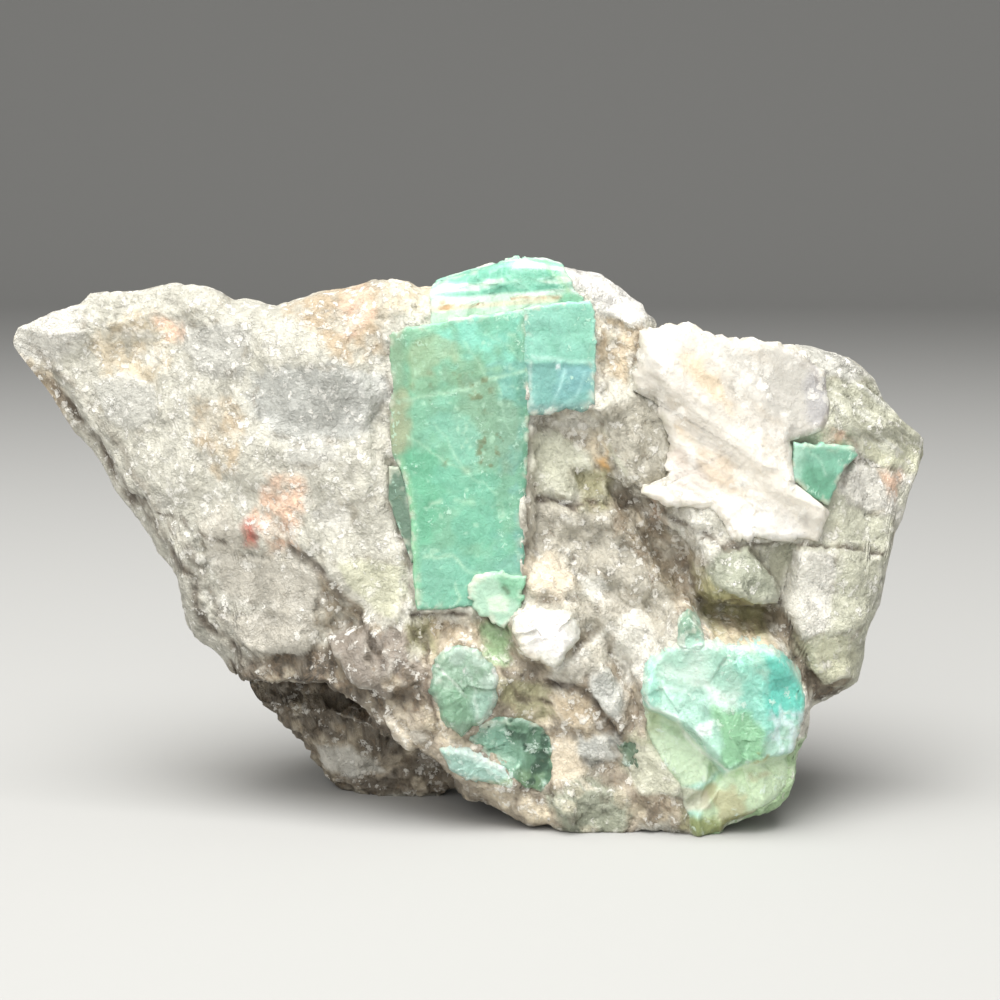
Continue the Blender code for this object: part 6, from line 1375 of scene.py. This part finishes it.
def grain_look(p):
    """White, brightest in the middle, tan at the lower left."""
    look = plain_look(p, (0.865, 0.862, 0.825), (0.60, 0.25, 0.05))
    lay_marks(look, p, [
        (patch, (0.91, 0.90, 0.885), 1.0, [(5.0, 18.2), (8.6, 17.6), (7.6, 15.0), (5.2, 15.6)], 1.2, 0),
        (patch, (0.87, 0.83, 0.75), 0.7,
            [(3.6, 17.6), (4.8, 15.4), (6.8, 14.2), (5.0, 14.2), (3.2, 16.4)], 0.8, 2),
        (streak, (0.96, 0.955, 0.94), 0.7, [(5.4, 18.4), (8.8, 17.6), (9.0, 16.2)], 0.3, 3),
    ])
    return look


def node(tree, kind, inputs=(), **settings):
    """A node with its inputs set: a socket is linked, and anything else becomes the input's own value."""
    made = tree.nodes.new("ShaderNode" + kind)
    for key, value in settings.items():
        setattr(made, key, value)
    for key, value in dict(inputs).items():
        if isinstance(value, bpy.types.NodeSocket):
            tree.links.new(value, made.inputs[key])
        else:
            made.inputs[key].default_value = value
    return made


def stone(name, grain=1.0, relief=(0.20, 0.05, 0.40, 0.05), vary=0.38, white=(0.89, 0.87, 0.81),
          stain=(0.25, 0.185, 0.12), sugar=0.0, roughness=0.60, clear=0.10, depth=0.0012):  # fmt: skip
    """Colour from the tint, mottled by soft noise and shaded grain by grain. White flakes are cells of
    a finer, more ragged lattice whose own value passes a level that the finish attribute moves; stains
    come where a noise passes its level. Height is the mottling, the flakes, each cell's own tilted
    plane, and grit."""
    made = bpy.data.materials.new(name)
    made.use_nodes = True
    tree = made.node_tree
    shader = tree.nodes["Principled BSDF"]
    place = node(tree, "TexCoord").outputs["Object"]
    mm = node(tree, "VectorMath", {0: place, 1: (1000.0, 1000.0, 1000.0)}, operation="MULTIPLY").outputs[0]

    def maths(kind, a, b, c=0.0, clamp=False):
        return node(tree, "Math", {0: a, 1: b, 2: c}, operation=kind, use_clamp=clamp).outputs[0]

    def noise(scale, detail, rough, twist=0.0):
        return node(tree, "TexNoise",
            {"Vector": mm, "Scale": scale, "Detail": detail, "Roughness": rough,
                "Distortion": twist}).outputs

    def moved(at, by, amount):
        return node(tree, "VectorMath", {0: by, 1: (amount,) * 3, 2: at},
            operation="MULTIPLY_ADD").outputs[0]

    def lattice(at, size):
        """A Voronoi lattice: distance from the cell's middle, the cell's three values, and the height
        of its tilted plane."""
        cell = node(tree, "TexVoronoi", {"Vector": at, "Scale": 1.0 / size})
        gap = node(tree, "VectorMath", {0: at, 1: cell.outputs["Position"]},
            operation="SUBTRACT").outputs[0]
        own = node(tree, "VectorMath", {0: cell.outputs["Color"], 1: (-0.5, -0.5, -0.5)},
            operation="ADD").outputs[0]
        plane = node(tree, "VectorMath", {0: gap, 1: own}, operation="DOT_PRODUCT").outputs["Value"]
        return cell.outputs["Distance"], node(tree, "SeparateColor",
            {"Color": cell.outputs["Color"]}).outputs, plane

    def laid(over, share, under, strength):
        mix = node(tree, "Mix", {0: maths("MULTIPLY", share, strength), 6: under, 7: (*over, 1.0)},
            data_type="RGBA")
        return mix.outputs[2]

    tint = node(tree, "Attribute", attribute_name="tint").outputs["Color"]
    finish = node(tree, "SeparateColor",
        {"Color": node(tree, "Attribute", attribute_name="finish").outputs["Color"]}).outputs
    mottle = noise(0.85, 5.0, 0.62, 0.5)["Fac"]
    grit = noise(5.0, 2.0, 0.5)["Fac"]
    cluster = noise(0.50, 3.0, 0.60)["Fac"]
    dirty = node(tree, "SeparateColor", {"Color": noise(1.45, 5.0, 0.72, 0.6)["Color"]}).outputs[1]

    warped = moved(mm, noise(1.0, 3.0, 0.6)["Color"], 1.3)
    _, shade, tilt = lattice(warped, 1.3 * grain)
    away, flake, lean = lattice(moved(warped, noise(2.6, 3.0, 0.6)["Color"], 1.1), 0.62 * grain)
    _, _, glitter = lattice(moved(mm, noise(3.4, 2.0, 0.6)["Color"], 0.5), 0.24 * grain)

    specks = maths("MULTIPLY_ADD", cluster, 1.1, maths("MULTIPLY", flake[1], 0.55))
    specks = maths("MULTIPLY_ADD", finish[1], 0.45, specks)
    specks = maths("MULTIPLY_ADD", maths("ADD", specks, sugar - 1.10), 9.0, 0.0, True)
    core = maths("MULTIPLY_ADD", away, -8.0, 4.6, True)
    specks = maths("MULTIPLY", specks, core)
    marks = maths("MULTIPLY_ADD", finish[2], 0.24, dirty)
    marks = maths("MULTIPLY_ADD", maths("ADD", marks, -0.67), 8.0, 0.0, True)

    height = maths("MULTIPLY", mottle, relief[0])
    height = maths("MULTIPLY_ADD", specks, relief[1], height)
    height = maths("MULTIPLY_ADD", tilt, relief[2], height)
    height = maths("MULTIPLY_ADD", lean, 0.8 * relief[2], height)
    height = maths("MULTIPLY_ADD", glitter, 0.5 * relief[2], height)
    height = maths("MULTIPLY_ADD", grit, relief[3], height)
    bump = node(tree, "Bump", {"Height": height, "Distance": MM, "Strength": 1.0})

    level = maths("MULTIPLY_ADD", mottle, 1.4 * vary, 1.0 - 0.7 * vary)
    level = maths("MULTIPLY_ADD", maths("ADD", shade[0], -0.5), 0.30 * vary, level)
    level = maths("MULTIPLY_ADD", maths("ADD", flake[0], -0.5), 0.34 * vary, level)
    level = maths("MULTIPLY_ADD", maths("ADD", grit, -0.5), 0.30 * vary, level)
    colour = node(tree, "VectorMath", {0: tint, "Scale": level}, operation="SCALE").outputs[0]
    colour = laid(white, maths("MULTIPLY", specks, maths("MULTIPLY_ADD", flake[2], 0.6, 0.4)), colour, 0.75)
    colour = laid(stain, marks, colour, 0.55)
    tree.links.new(colour, shader.inputs["Base Color"])
    dull = maths("MULTIPLY_ADD", finish[0], -0.28, roughness)
    dull = maths("MULTIPLY_ADD", specks, 0.20, dull)
    dull = maths("MULTIPLY_ADD", shade[0], 0.14, dull, True)
    tree.links.new(dull, shader.inputs["Roughness"])
    tree.links.new(bump.outputs["Normal"], shader.inputs["Normal"])
    shader.inputs["Subsurface Weight"].default_value = clear
    shader.inputs["Subsurface Radius"].default_value = (1.0, 0.9, 0.8)
    shader.inputs["Subsurface Scale"].default_value = depth
    return made


SET_IN = [
    PRISM_OUTLINE, SIDE_OUTLINE, CHIP_OUTLINE, SMALL_OUTLINE, CROWN_OUTLINE,
    FELDSPAR_SLABS[0][0], GRAIN_OUTLINE,
    ROUNDED_OUTLINE, DARK_OUTLINE, RIM_OUTLINE, SPECK_OUTLINE, LOWER_OUTLINE, NUB_OUTLINE,
]  # fmt: skip

rock_stone = stone("Broken quartz rock")
feldspar_stone = stone("Cleaved feldspar", grain=1.4, relief=(0.10, 0.02, 0.10, 0.03), vary=0.17,
    roughness=0.52, clear=0.2)
quartz_stone = stone("Clear quartz", grain=1.4, relief=(0.14, 0.03, 0.20, 0.03), vary=0.16,
    roughness=0.48, clear=0.2)
emerald = stone("Milky emerald", grain=0.6, relief=(0.10, 0.02, 0.10, 0.03), vary=0.28,
    white=(0.50, 0.74, 0.60), stain=(0.17, 0.22, 0.12), sugar=-0.14, roughness=0.50,
    clear=0.25, depth=0.0016)  # fmt: skip
pale_beryl = stone("Pale beryl", grain=1.0, relief=(0.16, 0.03, 0.20, 0.03), vary=0.28,
    white=(0.70, 0.82, 0.74), stain=(0.24, 0.24, 0.15), roughness=0.46,
    clear=0.30, depth=0.0018)  # fmt: skip

rock_points, rock_look = rock()
tips = np.array([(LEFT_END, 3.0, 39.3), (RIGHT_END, 2.0, 30.8)])
show("rock", grid_mesh("rock", rock_points, tips[0], tips[1], rock_look), rock_stone,
    "matrix", "matrix_rock")

# Name, outline, front, how far back it runs, its middle, look, material, slot, node, then how round
# and ragged its edge is.
CRYSTALS = [
    ("prism", PRISM_OUTLINE, prism_front, 5.0, (-0.2, 30.5), prism_look, emerald, "emerald",
        "emerald_prism", 0.22, 0.16),
    # The sliver's dark grey-green is painted shade: it stands for the prism's left side face in shadow
    # where the matrix broke away.
    ("sliver", SLIVER_OUTLINE, level_front(0.0, 0.10, 64), 3.0, (-5.4, 26.6),
        lambda p: plain_look(p, (0.38, 0.48, 0.41), (0.6, 0.0, 0.3)), emerald, "emerald",
        "emerald_prism", 0.15, 0.05),
    ("side_crystal", SIDE_OUTLINE, side_front, 5.0, (7.6, 39.6), side_look, emerald, "emerald",
        "emerald_side", 0.12, 0.16),
    ("crown", CROWN_OUTLINE, grain_front(0.22, 0.10, 0.08, 63), 3.0, (3.5, 44.9), crown_look, emerald,
        "emerald", "emerald_crown", 0.25, 0.14),
    ("chip", CHIP_OUTLINE, level_front(-0.80, 0.14, 65), 3.5, (2.5, 19.4), chip_look, emerald, "emerald",
        "emerald_chip", 0.3, 0.25),
    ("small_emerald", SMALL_OUTLINE, level_front(-1.05, 0.10, 66), 4.0, (29.2, 29.6), small_look, emerald,
        "emerald", "emerald_small_right", 0.30, 0.22),
    ("feldspar", FELDSPAR_SLABS[0][0], feldspar_front, 6.0, (22.0, 31.5), feldspar_look, feldspar_stone,
        "feldspar", "feldspar_block", 0.8, 0.30),
    ("quartz", GRAIN_OUTLINE, grain_front(0.35, 0.30, 0.10, 67), 3.0, (6.3, 16.6), grain_look, quartz_stone,
        "quartz", "quartz_grain", 0.6, 0.25),
    ("rounded_beryl", ROUNDED_OUTLINE, grain_front(0.35, 0.25, 0.10, 68), 3.5, (-0.1, 12.0), rounded_look,
        pale_beryl, "pale_beryl", "beryl_rounded", 0.9, 0.25),
    ("dark_beryl", DARK_OUTLINE, grain_front(0.30, 0.30, 0.12, 69), 3.5, (4.2, 7.3), dark_look, pale_beryl,
        "pale_beryl", "beryl_dark", 0.6, 0.25),
    ("pale_rim", RIM_OUTLINE, grain_front(0.40, 0.22, 0.10, 70), 3.0, (1.0, 5.8), rim_look, pale_beryl,
        "pale_beryl", "beryl_pale_rim", 0.6, 0.25),
    ("beryl_bit", SPECK_OUTLINE, grain_front(0.15, 0.25, 0.10, 71), 2.5, (13.4, 6.8),
        lambda p: plain_look(p, (0.42, 0.50, 0.42), (0.6, 0.3, 0.3)), pale_beryl, "pale_beryl",
        "beryl_speck", 0.2, 0.10),
    ("lower_beryl", LOWER_OUTLINE, lower_front, 4.5, (20.6, 8.6), lower_look, pale_beryl, "pale_beryl",
        "beryl_lower_right", 0.8, 0.30),
    ("lower_beryl_nub", NUB_OUTLINE, lambda x, z: lower_front(x, z) + 0.03 + 0.5 * smooth((15.9 - z) / 1.2),
        3.0, (17.8, 16.0), lower_look, pale_beryl, "pale_beryl", "beryl_lower_right", 0.4, 0.12),
]  # fmt: skip
for number, crystal in enumerate(CRYSTALS):
    name, outline, front, back, middle, look_of, finish, slot, replaced, bevel, ragged = crystal
    width, height = np.ptp(np.array(outline), axis=0)
    rings = int(np.clip(max(width, height) / 2 / RING_GAP, *RING_COUNTS))
    points, start, end = set_block(outline, front, back, middle, rings, bevel, ragged, 40 + number)
    look = look_of(points)
    inside = inside_distance(points[..., 0], points[..., 2], outline)
    crumbs = smooth(1 - inside / 0.9) * smooth(2.5 * clouds(points, 0.7, 400 + number, 3)
        + 0.35 - 0.5 * inside)
    wash(look, (0.80, 0.785, 0.72), 0.70 * crumbs)
    look[..., 4] += 0.45 * smooth(1 - inside / 1.2)
    show(name, grid_mesh(name, points, start, end, look), finish, slot, replaced)


def floor_sweep():
    """A pale floor that curves up into a wall: a profile of depth and height carried across the width."""
    turn = np.linspace(0, np.pi / 2, 24)
    y = np.concatenate([[-1.2], 1.2 + 0.8 * np.sin(turn), [2.0]])
    z = np.concatenate([[0.0], 0.8 - 0.8 * np.cos(turn), [2.5]])
    x = np.linspace(-3, 3, 5)
    points = np.stack([np.repeat(x, len(y)), np.tile(y, len(x)), np.tile(z, len(x))], axis=-1)
    index = np.arange(len(points)).reshape(len(x), len(y))
    quads = np.stack([index[:-1, :-1], index[1:, :-1], index[1:, 1:], index[:-1, 1:]],
        axis=-1).reshape(-1, 4)
    mesh = bpy.data.meshes.new("floor")
    mesh.from_pydata(points.tolist(), [], quads.tolist())
    mesh.polygons.foreach_set("use_smooth", np.ones(len(quads), bool))
    made = bpy.data.objects.new("floor", mesh)
    bpy.context.scene.collection.objects.link(made)
    paper = bpy.data.materials.new("Pale paper")
    paper.use_nodes = True
    shader = paper.node_tree.nodes["Principled BSDF"]
    shader.inputs["Base Color"].default_value = (0.42, 0.42, 0.41, 1.0)
    shader.inputs["Roughness"].default_value = 0.9
    mesh.materials.append(paper)


def soft_light(name, place, aim, size, power, colour):
    """A square lamp that faces a point."""
    data = bpy.data.lights.new(name, "AREA")
    data.size, data.energy, data.color = size, power, colour
    made = bpy.data.objects.new(name, data)
    made.location = place
    direction = np.array(aim) - np.array(place)
    made.rotation_euler = (
        np.arctan2(np.hypot(direction[0], direction[1]), -direction[2]), 0.0,
        np.arctan2(direction[0], -direction[1]) + np.pi,
    )  # fmt: skip
    bpy.context.scene.collection.objects.link(made)


floor_sweep()
soft_light("overhead", (-0.05, -0.16, 0.55), (0.0, 0.0, 0.02), 0.50, 6.0, (1.0, 0.99, 0.97))
soft_light("front", (-0.20, -0.60, 0.36), (0.0, 0.0, 0.02), 0.50, 2.2, (1.0, 0.99, 0.97))

world = bpy.data.worlds.new("Studio")
world.use_nodes = True
world.node_tree.nodes["Background"].inputs["Color"].default_value = (1.0, 0.99, 0.97, 1.0)
world.node_tree.nodes["Background"].inputs["Strength"].default_value = 0.40
bpy.context.scene.world = world

camera = bpy.data.cameras.new("camera")
camera.lens, camera.sensor_width = 79.92, 36.0
camera.clip_start = 0.01
viewer = bpy.data.objects.new("camera", camera)
viewer.location = (0.00280, -0.19126, 0.04900)
viewer.rotation_euler = (radians(83.0), 0.0, 0.0)
bpy.context.scene.collection.objects.link(viewer)
bpy.context.scene.camera = viewer
bpy.context.scene.view_settings.view_transform = "Standard"
